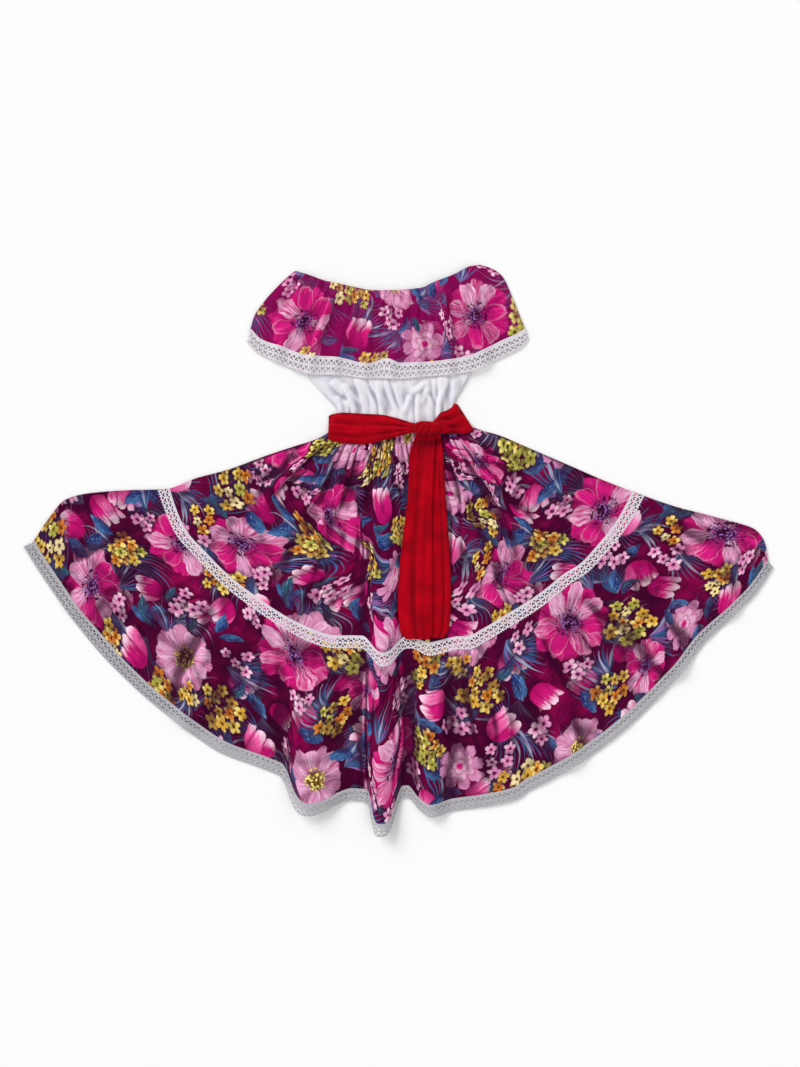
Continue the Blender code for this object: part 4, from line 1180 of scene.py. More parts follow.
def shaken(place, cut, amount, scale):
    """A place on a motif moved a little this way and that, as a brush moves."""
    inputs = {0: noise(cut, scale, 2.0, "Color"), 1: (amount, amount, 0.0), 2: place}
    return combine("ShaderNodeVectorMath", inputs, operation="MULTIPLY_ADD")


def polar(x, y):
    return calculate("SQRT", x * x + y * y), calculate("ARCTAN2", y, x)


def petals(angle, count, phase):
    """A petal's number, and how far across it a place lies, from -0.5 to 0.5."""
    turn = angle * (count / (2 * math.pi)) + phase
    number = calculate("FLOOR", turn)
    return number, turn - number - 0.5


def rounded(across, power):
    """1 in a petal's middle and 0 at its sides."""
    return calculate("MAXIMUM", calculate("COSINE", across * math.pi), 0.0) ** power


def srgb(red, green, blue):
    """A colour from its 0 to 255 screen values."""
    def linear(value):
        share = value / 255
        return share / 12.92 if share <= 0.04045 else ((share + 0.055) / 1.055) ** 2.4

    return (linear(red), linear(green), linear(blue), 1.0)


NIGHT = srgb(52, 4, 36)
# The flounce's paler shade colour, painted lighter as painted light.
FLOUNCE_PAINTED_LIGHT_PLUM = srgb(120, 10, 76)
BURGUNDY = srgb(158, 8, 76)
WINE = srgb(98, 3, 54)
INDIGO = srgb(56, 30, 84)
HOT_PINK = srgb(204, 26, 118)
ROSE = srgb(238, 92, 162)
PALE_PINK = srgb(218, 148, 188)
SHELL = srgb(244, 208, 226)
MAGENTA = srgb(160, 8, 88)
MAUVE = srgb(196, 122, 168)
ORANGE = srgb(202, 112, 36)
GOLDEN = srgb(212, 162, 58)
YELLOW = srgb(240, 220, 124)
CREAM = srgb(242, 220, 170)
OLIVE = srgb(96, 60, 24)
MOSS = srgb(160, 158, 66)
SLATE = srgb(58, 30, 74)
BLUE = srgb(70, 118, 170)
NAVY = srgb(36, 40, 96)
TEAL = srgb(36, 92, 108)
MIST = srgb(150, 160, 190)
LILAC = srgb(146, 98, 168)


def draw_spray(x, y, code):
    """Thin curved strokes that fan out from the spray's foot."""
    tint = calculate("FRACT", code)
    rise = y + 0.9
    out = calculate("SQRT", x * x + rise * rise) * 0.55
    angle = calculate("ARCTAN2", x, rise) + (out * out) * (tint * 2.2 - 1.1)
    turn = angle * 6.4
    number = calculate("FLOOR", turn)
    across = abs(turn - number - 0.5) * out
    own = chance(number + code * 13.0)
    reach = 0.6 + own * 0.4
    width = (reach - out) * 0.34
    inside = calculate("MINIMUM", width - across, 0.8 - abs(angle))
    cover = shown(inside - 0.004, 0.04)
    shade = mix(across * 9.0, mix(own * 1.4, TEAL, BLUE), NAVY)
    colour = mix(own > 0.82, shade, MIST)
    colour = mix(own < 0.2, colour, LILAC)
    return colour, cover * 0.9, shown(1.0 - out * 1.5, 0.8) * 0.45


def draw_leaf(x, y, code):
    """A soft rounded leaf, darker along one side and towards its foot."""
    tint = chance(code * 31.0)
    bent = y + (x * x - 0.4) * (tint * 0.5 - 0.1)
    half = (1.0 - x * x) * 0.42 - x * 0.05
    away = abs(bent)
    cover = shown(half - away, 0.07)
    streak = noise(vector(x * 1.6, bent * 8.0, code * 7.0), 2.0, 2.0)
    deep = mix(tint > 0.55, NAVY, INDIGO)
    bright = mix(tint > 0.7, BLUE, TEAL)
    share = shown(bent + 0.08, 0.5) * 0.7 + (streak - 0.5) * 2.6 + x * 0.35 - 0.05
    colour = mix(share, deep, bright)
    colour = mix((streak - 0.62) * 5.0, colour, MIST)
    return colour, cover, shown(0.3 - away, 0.5) * 0.5


def draw_small(x, y, code):
    """A flower of five petals: golden, or pink and nearly white."""
    kind = calculate("FLOOR", code)
    out, angle = polar(x, y)
    number, across = petals(angle, 5, code * 3.0)
    petal = rounded(across, 0.8)
    cover = shown(0.46 + petal * 0.5 - out, 0.2)
    own = chance(number + code * 17.0)
    tint = chance(code * 5.0)
    speck = noise(vector(x * 2.0, y * 2.0, code * 9.0), 2.4, 2.0)
    gold = mix(tint > 0.26, ORANGE, GOLDEN)
    gold = mix(tint > 0.52, gold, MOSS)
    gold = mix(tint > 0.86, gold, CREAM)
    gold = mix((own + out - 1.0) * 1.6 + (speck - 0.5) * 3.0, gold, YELLOW)
    pink = mix(out * 1.7 - 0.1, ROSE, mix(own * 1.4, SHELL, PALE_PINK))
    colour = mix(kind, gold, pink)
    dark = mix(kind, OLIVE, SLATE)
    colour = mix(shown(0.08 - petal * 0.55, 0.3) * 0.6 + (0.4 - speck) * 4.0, colour, dark)
    colour = mix(shown(0.24 - out, 0.2), colour, dark)
    return colour, cover, shown(1.3 - out, 0.9) * 0.7


def petal_colour(own, across, out, streak):
    """Streaked petals, some hot pink and some pale, darker towards the heart and between petals."""
    hot = mix((streak - 0.52) * 3.0 + (out - 0.75) * 0.8, HOT_PINK, ROSE)
    pale = mix((streak - 0.5) * 3.4, PALE_PINK, SHELL)
    colour = mix((own - 0.4) * 4.0 + (streak - 0.5) * 2.0, hot, pale)
    colour = mix((0.45 - streak) * 4.2, colour, MAGENTA)
    colour = mix(1.05 - out * 2.1 + (0.5 - streak) * 1.2, colour, SLATE)
    return mix(shown(abs(across) - 0.4, 0.16) * 0.8, colour, MAGENTA)


def draw_open_flower(x, y, code, out, angle):
    """An anemone or a paler daisy: two rings of broad petals round a heart of stamens."""
    pale = is_kind(calculate("FLOOR", code), DAISY)
    count = 7
    number, across = petals(angle, count, code * 5.0)
    under, under_across = petals(angle, count, code * 5.0 + 0.5)
    wobble = (noise(vector(x, y, code), 4.2, 2.0) - 0.5) * 0.3
    own = chance(number + code * 7.0)
    over_edge = rounded(across, 0.34) * (0.84 + own * 0.12) + wobble
    under_edge = 0.55 + rounded(under_across, 0.5) * 0.4 + wobble
    cover = shown(calculate("MAXIMUM", over_edge, under_edge) - out, 0.05)
    streak = noise(vector(across * 6.0, out * 1.2, number * 3.7 + code), 2.0, 3.0)
    under_streak = noise(vector(under_across * 6.0, out * 1.2, under * 2.9 + code), 2.0, 3.0)
    own = calculate("MINIMUM", own + pale * 0.5, 1.0)
    under_own = calculate("MINIMUM", chance(under * 1.7 + code * 3.0) * 0.6 + pale * 0.5, 1.0)
    lower = petal_colour(under_own, under_across, out, under_streak)
    lower = mix(0.3, lower, MAGENTA)
    upper = petal_colour(own, across, out, streak)
    rim = shown(0.05 - (over_edge - out), 0.08) * 0.3
    upper = mix(rim, upper, SHELL)
    colour = mix(shown(over_edge - out, 0.03), lower, upper)
    dots = noise(vector(x * 6.0, y * 6.0, code), 2.4)
    stamens = mix((dots - 0.5) * 7.0, mix(pale, NIGHT, OLIVE), mix(pale, LILAC, YELLOW))
    heart = shown(0.21 + pale * 0.1 + (dots - 0.5) * 0.4 - out, 0.05)
    ring = shown(0.36 - out, 0.04) * (dots > 0.55)
    colour = mix(ring, colour, mix(pale, NIGHT, GOLDEN))
    return mix(heart, colour, stamens), cover


def draw_peony(x, y, code, out, angle):
    """A round pale flower: three rings of notched petals, each drawn with a darker line."""
    streak = noise(vector(angle * 2.6, out * 1.6, code), 3.4, 3.0)
    colour = mix((streak - 0.38) * 3.4, MAUVE, PALE_PINK)
    notch = calculate("SINE", angle * 29.0) * 0.012 + (streak - 0.5) * 0.07
    cover = None
    for count, base, scallop, phase in ((8, 0.64, 0.32, 0.0), (6, 0.4, 0.24, 0.3), (4, 0.18, 0.16, 0.7)):
        _, across = petals(angle, count, code + phase)
        edge = base + rounded(across, 0.6) * scallop + notch
        if cover is None:
            cover = shown(edge - out, 0.05)
            colour = mix(shown(abs(across) - 0.42, 0.14) * 0.6, colour, MAGENTA)
            continue
        colour = mix(shown(0.035 - abs(edge - out), 0.05) * 0.7, colour, MAGENTA)
        colour = mix(shown(edge - 0.02 - out, 0.25) * 0.35, colour, SHELL)
    return mix(shown(0.15 - out, 0.1), colour, HOT_PINK), cover


def draw_tulip(x, y, code):
    """A cup of three petals seen from the side, hot pink at its foot and pale at its rim."""
    tint = calculate("FRACT", code)
    turn = x * (1.5 + y * 0.25) + 0.5 + tint * 0.5
    number = calculate("FLOOR", turn)
    across = turn - number - 0.5
    ragged = (noise(vector(x, y, code), 4.0, 2.0) - 0.5) * 0.3
    rim = 0.62 + rounded(across, 0.6) * 0.3 + ragged - x * x * 0.3
    low = calculate("MINIMUM", y + 0.15, 0.0) * 0.9
    body = 0.74 + y * 0.14 - calculate("SQRT", x * x + low * low)
    inside = calculate("MINIMUM", rim - y, body)
    cover = shown(inside, 0.06)
    streak = noise(vector(across * 5.0, y * 0.8, number * 5.0 + code), 2.2, 3.0)
    rosy = mix(chance(number + code) > 0.5, HOT_PINK, ROSE)
    colour = mix(y * 0.8 + 0.75, MAGENTA, rosy)
    pale = y * 1.1 + (streak - 0.5) * 3.6 + chance(number * 3.0 + code) * 0.8 - 0.5
    colour = mix(pale, colour, PALE_PINK)
    colour = mix((y - 0.3) * 2.0 + (streak - 0.5) * 2.0, colour, SHELL)
    colour = mix(shown(abs(across) - 0.42, 0.12) * 0.8, colour, MAGENTA)
    return colour, cover, shown(body + 0.25, 0.3) * 0.35


def draw_bloom(x, y, code):
    kind = calculate("FLOOR", code)
    out, angle = polar(x, y)
    colour, cover = draw_open_flower(x, y, code, out, angle)
    peony, peony_cover = draw_peony(x, y, code, out, angle)
    tulip, tulip_cover, _ = draw_tulip(x, y, code)
    is_peony = is_kind(kind, PEONY)
    is_tulip = is_kind(kind, TULIP)
    colour = mix(is_tulip, mix(is_peony, colour, peony), tulip)
    cover = cover + is_peony * (peony_cover - cover) + is_tulip * (tulip_cover - cover)
    below, _ = polar(x - 0.06, y + 0.1)
    return colour, cover, shown(1.04 - below, 0.3) * 0.6


# How each kind of motif is drawn, how far a brush strays on it, and how finely.
Drawn = namedtuple("Drawn", "draw stray fineness")
MOTIFS = {
    "spray": Drawn(draw_spray, 0.08, 30),
    "leaf": Drawn(draw_leaf, 0.35, 60),
    "tulip": Drawn(draw_tulip, 0.3, 60),
    "bloom": Drawn(draw_bloom, 0.16, 60),
    "small_flower": Drawn(draw_small, 0.5, 110),
}


def motif_group(name, draw):
    """One kind of motif as a group: its place in, its colour, cover and the shade round it out."""
    made = bpy.data.node_groups.get(name)
    if made:
        return made
    tree = bpy.data.node_groups.new(name, "ShaderNodeTree")
    tree.interface.new_socket("Place", in_out="INPUT", socket_type="NodeSocketVector")
    for output, kind in (("Colour", "Color"), ("Cover", "Float"), ("Shade", "Float")):
        tree.interface.new_socket(output, in_out="OUTPUT", socket_type=f"NodeSocket{kind}")
    graph = Graph(tree)
    x, y, code = parts(graph.add("NodeGroupInput", output="Place"))
    drawn = draw(x, y, calculate("SNAP", code, 1 / CODES))
    graph.node("NodeGroupOutput", dict(enumerate(drawn)))
    return tree


def cloth_shader(name, roughness, sheen):
    """A new material with a Principled shader, and its graph."""
    material = bpy.data.materials.new(name)
    material.use_nodes = True
    graph = Graph(material.node_tree)
    shader = material.node_tree.nodes["Principled BSDF"]
    looks = {
        "Roughness": roughness, "Sheen Weight": sheen, "Sheen Roughness": 0.5, "Specular IOR Level": 0.02,
    }
    for look, value in looks.items():
        graph.put(value, shader.inputs[look])
    return material, graph, shader


def weave(graph, shader, thread, strength):
    """A plain weave as bump, on the cut cloth: each thread is this wide."""
    u, v, _ = parts(graph.cut())
    turns = math.pi / (thread * MM)
    height = calculate("SINE", u * turns) * calculate("SINE", v * turns)
    graph.bump(shader, height, strength, 0.1 * thread * MM)


# The shade printed round a print's motifs, how much of it is painted into the folds as painted shade, and
# where the bright ground begins. The flounce's copy is painted lighter, as light falling on it: a paler
# shade, less painted shade in its folds and more bright ground.
Depth = namedtuple("Depth", "shade hollows bright_from")
SKIRT_DEPTH = Depth(NIGHT, 0.85, 0.48)
# The flounce is the same print painted lighter, as painted light.
FLOUNCE_PAINTED_LIGHT_DEPTH = Depth(FLOUNCE_PAINTED_LIGHT_PLUM, 0.45, 0.32)


def printed_cotton(name, depth):
    material, graph, shader = cloth_shader(name, 0.78, 0.0)
    colours = bpy.context.scene.dress_print
    cut = graph.cut()
    u, v, _ = parts(cut)
    broad = noise(cut, 16.0, 3.0)
    brush = noise(vector((u + v) * 34.0, (u - v) * 190.0), 1.0, 3.0)
    colour = mix((broad - 0.4) * 3.4, tuple(colours.dark_ground), tuple(colours.ground))
    colour = mix((brush - depth.bright_from) * 3.0, colour, tuple(colours.bright_ground))
    colour = mix((0.44 - brush) * 4.0, colour, INDIGO)
    groups = {name: motif_group(name, motif.draw) for name, motif in MOTIFS.items()}
    for number, layer in enumerate(LAYERS):
        motif = MOTIFS[layer.drawn]
        place = shaken(graph.stored(layer_name(number)), cut, motif.stray, motif.fineness)
        group = graph.node("ShaderNodeGroup", {"Place": place}, node_tree=groups[layer.drawn])
        colour = mix(graph.out(group, "Shade"), colour, depth.shade)
        colour = mix(graph.out(group, "Cover"), colour, graph.out(group, "Colour"))
    # Painted shade in the folds, darker the deeper a point lies in one.
    colour = mix(graph.stored("hollow", "Fac") * depth.hollows, colour, depth.shade)
    graph.put(colour, shader.inputs["Base Color"])
    weave(graph, shader, 0.5, 0.35)
    return material


def shaded(colour, *parts):
    """A colour with each of its channels made darker by its own part, or by the same one."""
    return tuple(channel * part for channel, part in zip(colour, parts * 3)) + (1.0,)


def white_cotton(name):
    material, graph, shader = cloth_shader(name, 0.85, 0.0)
    share = (noise(graph.place(), 22.0, 3.0) - 0.4) * 1.4
    base = tuple(bpy.context.scene.dress_print.white)
    colour = mix(share, base, shaded(base[:3], 0.93, 0.94, 0.985))
    # Painted shade in the bodice's folds.
    colour = mix(graph.stored("hollow", "Fac") * 0.8, colour, srgb(146, 144, 158))
    graph.put(colour, shader.inputs["Base Color"])
    weave(graph, shader, 0.45, 0.3)
    return material


def lace_thread(name, colour):
    """Soft white thread, with painted shade in the grooves of its twist."""
    material, graph, shader = cloth_shader(name, 0.8, 0.0)
    twist = noise(graph.place(), 900.0, 2.0)
    base = tuple(getattr(bpy.context.scene.dress_print, colour))
    # Painted shade in the grooves of the lace's twist.
    graph.put(mix((twist - 0.35) * 2.0, shaded(base[:3], 0.72), base), shader.inputs["Base Color"])
    graph.bump(shader, twist, 0.4, 0.1 * MM)
    return material


def sash_crepe(name):
    """Deep red crepe with a soft sheen, darker in patches, with painted shade in its folds."""
    material, graph, shader = cloth_shader(name, 0.6, 0.05)
    place = graph.place()
    base = tuple(bpy.context.scene.dress_print.sash)
    colour = mix((noise(place, 26.0, 3.0) - 0.38) * 2.4, shaded(base[:3], 0.55), base)
    # Painted shade in the sash's folds.
    colour = mix(graph.stored("hollow", "Fac") * 0.8, colour, srgb(96, 0, 12))
    graph.put(colour, shader.inputs["Base Color"])
    graph.bump(shader, noise(place, 1100.0, 2.0), 0.35, 0.12 * MM)
    return material


# Each finish, by its name.
FINISHES = {
    "floral_cotton": lambda name: printed_cotton(name, SKIRT_DEPTH),
    # The flounce's finish is the same print painted lighter, as painted light.
    "flounce_cotton": lambda name: printed_cotton(name, FLOUNCE_PAINTED_LIGHT_DEPTH),
    "white_cotton": white_cotton,
    "lace": lambda name: lace_thread(name, "lace"),
    # The hem's lace is the same lace painted darker, as painted shade.
    "hem_lace": lambda name: lace_thread(name, "hem_lace"),
    "sash_cloth": sash_crepe,
    "sewing_thread": lambda name: lace_thread(name, "thread"),
}


def finish(kind):
    """The material of a kind of cloth, made when it is first asked for."""
    name = f"{kind}_finish"
    return bpy.data.materials.get(name) or FINISHES[kind](name)


# The fine cloth lies just above its solid's underside, and lace lies on cloth.
CLEARANCE = 0.2
LACE_BASE = 1.1

# Each cotton panel: its solid's node, its finish and how it was cut. That is how wide its strip is at its
# top and bottom edge, where its top's middle lay on the print, how far it was turned, and how much more
# cloth its slopes hide than their own length.
Panel = namedtuple("Panel", "node finish top bottom x y turn hides")
PANELS = {
    "front_upper_tier": Panel("skirt_upper_front", "floral_cotton", 600, 1150, 60, 470, 4, 6.5),
    "front_lower_tier": Panel("skirt_lower_front", "floral_cotton", 1210, 1900, 320, 40, -6, 2.5),
    "front_bodice": Panel("bodice_front", "white_cotton", 340, 420, 0, 0, 0, 3.0),
    # The flounce takes the print painted lighter, as painted light.
    "front_flounce": Panel("flounce_front", "flounce_cotton", 560, 640, 89, 443, 22, 3.5),
    "back_upper_tier": Panel("skirt_upper_back", "floral_cotton", 600, 1130, 170, 90, 2, 3.0),
    "back_lower_tier": Panel("skirt_lower_back", "floral_cotton", 1200, 1830, 30, 300, 5, 3.0),
    "back_bodice": Panel("bodice_back", "white_cotton", 340, 350, 0, 0, 0, 3.0),
    "back_flounce": Panel("flounce_back", "flounce_cotton", 560, 640, 260, 140, -4, 3.0),
}


def flat_size(cut):
    """The width, length and area that the cut takes of the bolt, in metres."""
    low, high = cut.reshape(-1, 2).min(axis=0), cut.reshape(-1, 2).max(axis=0)
    width, length = (high - low) * MM
    one = cut[1:, 1:] - cut[:-1, :-1]
    other = cut[1:, :-1] - cut[:-1, 1:]
    area = np.abs(one[..., 0] * other[..., 1] - one[..., 1] * other[..., 0]).sum() / 2 * MM**2
    return (float(width), float(length)), float(min(area, width * length))


# How deep a fold must sink for its painted shade to be darkest, in each kind of cloth.
COTTON_FULL_SHADE_DEPTH = 1.3
SASH_FULL_SHADE_DEPTH = 0.8


def store_fold_shade(mesh, height, depth):
    """Stores how deep each point lies in a fold, from 0 to 1, for both sides: how much painted shade it takes."""
    hollow = np.clip((smoothed(height, 36) - height) / depth, 0, 1).ravel()
    stored = mesh.attributes.new("hollow", "FLOAT", "POINT")
    stored.data.foreach_set("value", np.concatenate([hollow, hollow]).astype(np.float32))


# What each piece of cloth lies on, and what is sewn or tied to it.
Goes = namedtuple("Goes", "rests_on with_pieces")
GOES_WITH = {
    "front_upper_tier": Goes(
        ["back_upper_tier"], ["tier_lace_front_net", "lace_stitches_1", "lace_stitches_2"]
    ),
    "front_lower_tier": Goes(["back_lower_tier"], ["hem_lace_front_net", "lace_stitches_3"]),
    "front_bodice": Goes(["back_bodice"], []),
    "front_flounce": Goes(
        ["front_bodice", "back_flounce"], ["flounce_lace_front_net", "lace_stitches_4", "casing_stitches_1"]
    ),
    "back_upper_tier": Goes([], ["tier_lace_back_net"]),
    "back_lower_tier": Goes([], ["hem_lace_back_net"]),
    "back_bodice": Goes(["back_flounce"], []),
    "back_flounce": Goes([], ["flounce_lace_back_net"]),
    "sash_band_left_cloth": Goes(
        ["front_upper_tier", "front_bodice"], ["sash_stitches_1", "sash_stitches_2"]
    ),
    "sash_band_right_cloth": Goes(
        ["front_upper_tier", "front_bodice"], ["sash_stitches_3", "sash_stitches_4"]
    ),
    "sash_tail_over_cloth": Goes(
        ["front_upper_tier", "sash_tail_under_cloth"],
        ["sash_knot_wraps", "sash_stitches_5", "sash_stitches_6"],
    ),
    "sash_tail_under_cloth": Goes(["front_upper_tier"], ["sash_stitches_7"]),
    "sash_back_cloth": Goes([], []),
}


def cloth_panel(name, points):
    """A panel as a thin shell on its solid's form, declared with the size that it was cut to."""
    panel = PANELS[name]
    slot = "white_cotton" if panel.finish == "white_cotton" else "floral_cotton"
    mesh = shell_mesh(name, points, bpy.context.scene.dress_cloth.cotton)
    place = cut_from(points, panel)
    set_cut(mesh, turned(place, panel.turn) + [panel.x, panel.y], slot == "floral_cotton")
    # How deep each point lies in a fold sets the painted shade there.
    store_fold_shade(mesh, points[..., 2], COTTON_FULL_SHADE_DEPTH)
    piece = add_piece(name, panel.node, mesh, slot, finish(panel.finish))
    flat, area = flat_size(place)
    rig.sheet(piece, flat=flat, held="gathered", area=area, **GOES_WITH[name]._asdict())


def follow_gathers(columns, share):
    """Shares across the upper skirt, part of them spaced as the waist's gathers are."""
    plain = even(columns)
    across, waist = table(LEANS, "across", "waist")
    return (1 - share) * plain + share * np.interp(plain, waist, across)


def between_rows(grid, start, end):
    """A strip between two shares of the way from a grid's first row to its last."""
    down = run_of(grid)
    strip = []
    for share in (start, end):
        row = min(np.searchsorted(down, share * down[-1], side="right") - 1, len(grid) - 2)
        own = (share * down[-1] - down[row]) / (down[row + 1] - down[row])
        strip.append(between(grid[row], grid[row + 1], own))
    return np.array(strip)


def guide(name, grid):
    """A strip that repeats follow, and its length. Its map runs from 0 to 1 along it and down it."""
    faces = grid_faces(*grid.shape[:2])
    mesh = placed_mesh(name, grid.reshape(-1, 3), faces)
    along, down = run_of(grid[len(grid) // 2][:, None]), run_of(grid)
    places = np.stack(np.meshgrid(along / along[-1], down / down[-1]), -1).reshape(-1, 2)
    mesh.uv_layers.new(name="strip").data.foreach_set("uv", places[faces.ravel()].astype(np.float32).ravel())
    facing = mesh.attributes.new("facing", "FLOAT_VECTOR", "POINT")
    facing.data.foreach_set("vector", outwards(grid).astype(np.float32).ravel())
    return add_object(name, mesh), float(along[-1])


def strip_repeat():
    """Repeats a motif along a guide. The motif is 1 long and 1 wide, and its height is in metres."""
    tree = bpy.data.node_groups.get("strip_repeat")
    if tree:
        return tree
    tree = bpy.data.node_groups.new("strip_repeat", "GeometryNodeTree")
    inputs = {"Guide": "Geometry", "Motif": "Object", "Repeats": "Int", "Thread": "Material"}
    for name, kind in inputs.items():
        tree.interface.new_socket(name, in_out="INPUT", socket_type=f"NodeSocket{kind}")
    tree.interface.new_socket("Geometry", in_out="OUTPUT", socket_type="NodeSocketGeometry")
    graph = Graph(tree)
    given = graph.node("NodeGroupInput")
    strip, motif, repeats, thread = (graph.out(given, name) for name in inputs)
    line = graph.add("GeometryNodeMeshLine", {"Count": repeats, "Offset": (1.0, 0.0, 0.0)}, mode="OFFSET")
    one = graph.add("GeometryNodeObjectInfo", {"Object": motif}, "Geometry", transform_space="ORIGINAL")
    placed = graph.add("GeometryNodeInstanceOnPoints", {"Points": line, "Instance": one})
    plain = graph.add("GeometryNodeRealizeInstances", {"Geometry": placed})
    x, y, z = parts(graph.add("GeometryNodeInputPosition"))
    # The map is read just inside its border, where it is sure to hit a face.
    inside = 0.999
    shift = (1 - inside) / 2
    at = vector(x / repeats * inside + shift, y * inside + shift)
    strip_map, facing = (
        graph.add("GeometryNodeInputNamedAttribute", {"Name": name}, data_type="FLOAT_VECTOR")
        for name in ("strip", "facing")
    )
    read = []
    for value in (graph.add("GeometryNodeInputPosition"), facing):
        sampled = {0: strip, 1: value, 2: strip_map, 3: at}
        read.append(parts(graph.add("GeometryNodeSampleUVSurface", sampled, data_type="FLOAT_VECTOR")))
    raised = vector(*(place + way * z for place, way in zip(*read)))
    moved = graph.add("GeometryNodeSetPosition", {"Geometry": plain, "Position": raised})
    joined = graph.add("GeometryNodeMergeByDistance", {"Geometry": moved, "Distance": 0.00001})
    graph.node("NodeGroupOutput", {0: graph.add("GeometryNodeSetMaterial", {0: joined, "Material": thread})})
    return tree


def repeated(name, node, grid, motif, pitch, material, slot):
    """Copies of the motif along a strip, as one plain mesh."""
    strip, length = guide(f"{name}_guide", grid)
    tree = strip_repeat()
    modifier = strip.modifiers.new("repeat", "NODES")
    modifier.node_group = tree
    values = {"Motif": motif, "Repeats": round(length / pitch), "Thread": material}
    for socket in tree.interface.items_tree:
        if socket.name in values:
            modifier[socket.identifier] = values[socket.name]
    bpy.context.view_layer.update()
    graph = bpy.context.evaluated_depsgraph_get()
    mesh = bpy.data.meshes.new_from_object(strip.evaluated_get(graph))
    mesh.name = name
    bpy.data.objects.remove(strip)
    for kept in [layer.name for layer in mesh.uv_layers]:
        mesh.uv_layers.remove(mesh.uv_layers[kept])
    mesh.shade_smooth()
    mesh.set_sharp_from_angle(angle=math.radians(50))
    return add_piece(name, node, mesh, slot)


# One repeat of the lace, from its footing to its scalloped edge: # is thread and . is a hole.
LACE_CHART = (
    "########",
    "##.###.#",
    "########",
    "##....##",
    ".##..##.",
    "..####..",
    "#..##..#",
    "########",
    "#..##..#",
    "..####..",
    ".##..##.",
    "##....##",
    "########",
    ".##..##.",
)


def lace_motif():
    """The chart as a closed mesh with rounded holes, 1 long and 1 wide."""
    thread = np.array([[cell == "#" for cell in row] for row in LACE_CHART])
    rows, columns = thread.shape
    bordered = np.zeros((rows + 2, columns), bool)
    bordered[1:-1] = thread
    sides = []
    for row, column in zip(*np.nonzero(thread)):
        left, right, low_left, low_right = np.ndindex(2, 2)
        for beside, start, end in (
            (bordered[row, column], right, left),
            (bordered[row + 2, column], low_left, low_right),
            (thread[row, column - 1], left, low_left),
            (thread[row, (column + 1) % columns], low_right, right),
        ):
            if not beside:
                sides.append(((row + start[0], column + start[1]), (row + end[0], column + end[1])))
    softened = np.stack(np.indices((rows + 1, columns + 1)), -1).astype(float)
    pull = np.zeros((rows + 1, columns, 2))
    count = np.zeros((rows + 1, columns, 1))
    for start, end in sides:
        for (row, column), other in ((start, end), (end, start)):
            pull[row, column % columns] += np.array(other) - (row, column)
            count[row, column % columns] += 1
    shift = 0.5 * pull / np.maximum(count, 1)
    shift[0, :, 0] = 0
    softened[:, :columns] += shift
    softened[:, columns] += shift[:, 0]
    number = np.arange((rows + 1) * (columns + 1)).reshape(rows + 1, columns + 1)
    above = number.size
    faces = []
    for row, column in zip(*np.nonzero(thread)):
        upper, lower = number[row, column : column + 2], number[row + 1, column : column + 2]
        ring = [upper[0], lower[0], lower[1], upper[1]]
        faces.append([corner + above for corner in ring])
        faces.append(ring[::-1])
    for start, end in sides:
        a, b = number[start], number[end]
        faces.append([a, b, b + above, a + above])
    flat = softened.reshape(-1, 2) / [rows, columns]
    points = [[x, y, z] for z in (0.0, bpy.context.scene.dress_lace.thread) for y, x in flat]
    mesh = plain_mesh("lace_motif", points, faces)
    mesh.validate()
    return add_object("lace_motif", mesh)


def stitch_motif():
    """One stitch: a short thread that dips into the cloth at both ends."""
    thread = bpy.context.scene.dress_lace.stitch
    points, faces = [], []
    for along, wide, high in ((0.1, 0.12, -0.3), (0.5, 0.5, 0.5), (0.9, 0.12, -0.3)):
        for side, up in ((-1, 0), (0, -1), (1, 0), (0, 1)):
            points.append((along, 0.5 + side * wide, (high + up * wide) * thread))
    for first in (0, 4):
        for side in range(4):
            after = (side + 1) % 4
            faces.append((first + side, first + side + 4, first + after + 4, first + after))
    faces += [(0, 1, 2, 3), (11, 10, 9, 8)]
    return add_object("stitch_motif", plain_mesh("stitch_motif", points, faces))


def trimmed_edge(grid, edge, drop):
    """The strip from a panel's last rows, over its lap, to the lace's own free edge."""
    over = grid + LACE_BASE * outwards(grid)
    height = over[-1, :, 2] - drop
    free = np.column_stack([edge, height])
    middle = between(over[-1], free, 0.5)
    middle[:, 2] += 0.3 * np.asarray(drop)
    return np.concatenate([over, middle[None], free[None]])


def lapped(rows):
    """The plan of a panel's last row, moved in under the panel by the lap of its lace."""
    inner, line = rows[0, :, :2], rows[-1, :, :2]
    way = inner - line
    return line + way / np.linalg.norm(way, axis=1, keepdims=True) * LACE_LAP


def floor_strip(top, bottom):
    """A strip that lies on the floor under the back."""
    plan = ruled(top, bottom, (0, 0.5, 1))
    return np.dstack([plan, np.full(plan.shape[:2], CLEARANCE)])


def lace_strips():
    """The strip of each lace: over the tiers' seam, past the hem and past the flounce, front and back."""
    across, finer, few = (even(columns) for columns in (900, 500, 300))
    seam = front_skirt(across, (0.97, 0.985, 1, 1.022, 1.045))
    hem = front_skirt(across, (1.982, 1.991, 2))
    flounce = front_flounce(finer, (0.955, 0.98, 1))
    flounce_edge = flounce_line(finer, FLOUNCE_LACE_EDGE, 0)
    drop = FRONT_REST - LACE_EDGE
    back_seam = back_skirt(few, (0.965, 1, 1.05))[..., :2]
    back_hem = lapped(back_skirt(few, (1.9, 2)))
    back_flounce_hem = lapped(back_flounce(few, np.array([0.9, 1])))
    back_flounce_edge = flounce_line(few, FLOUNCE_LACE_EDGE, BACK_SMALLER)
    return {
        "tier_lace_front": seam + LACE_BASE * outwards(seam),
        "hem_lace_front": trimmed_edge(hem, hem_edge(across), drop),
        "flounce_lace_front": trimmed_edge(flounce, flounce_edge, drop * (1 - over_bodice(finer, 1.0))),
        "tier_lace_back": floor_strip(back_seam[0], back_seam[2]),
        "hem_lace_back": floor_strip(back_hem, ring_across(few, BACK_HEM_LINE)),
        "flounce_lace_back": floor_strip(back_flounce_hem, back_flounce_edge),
    }


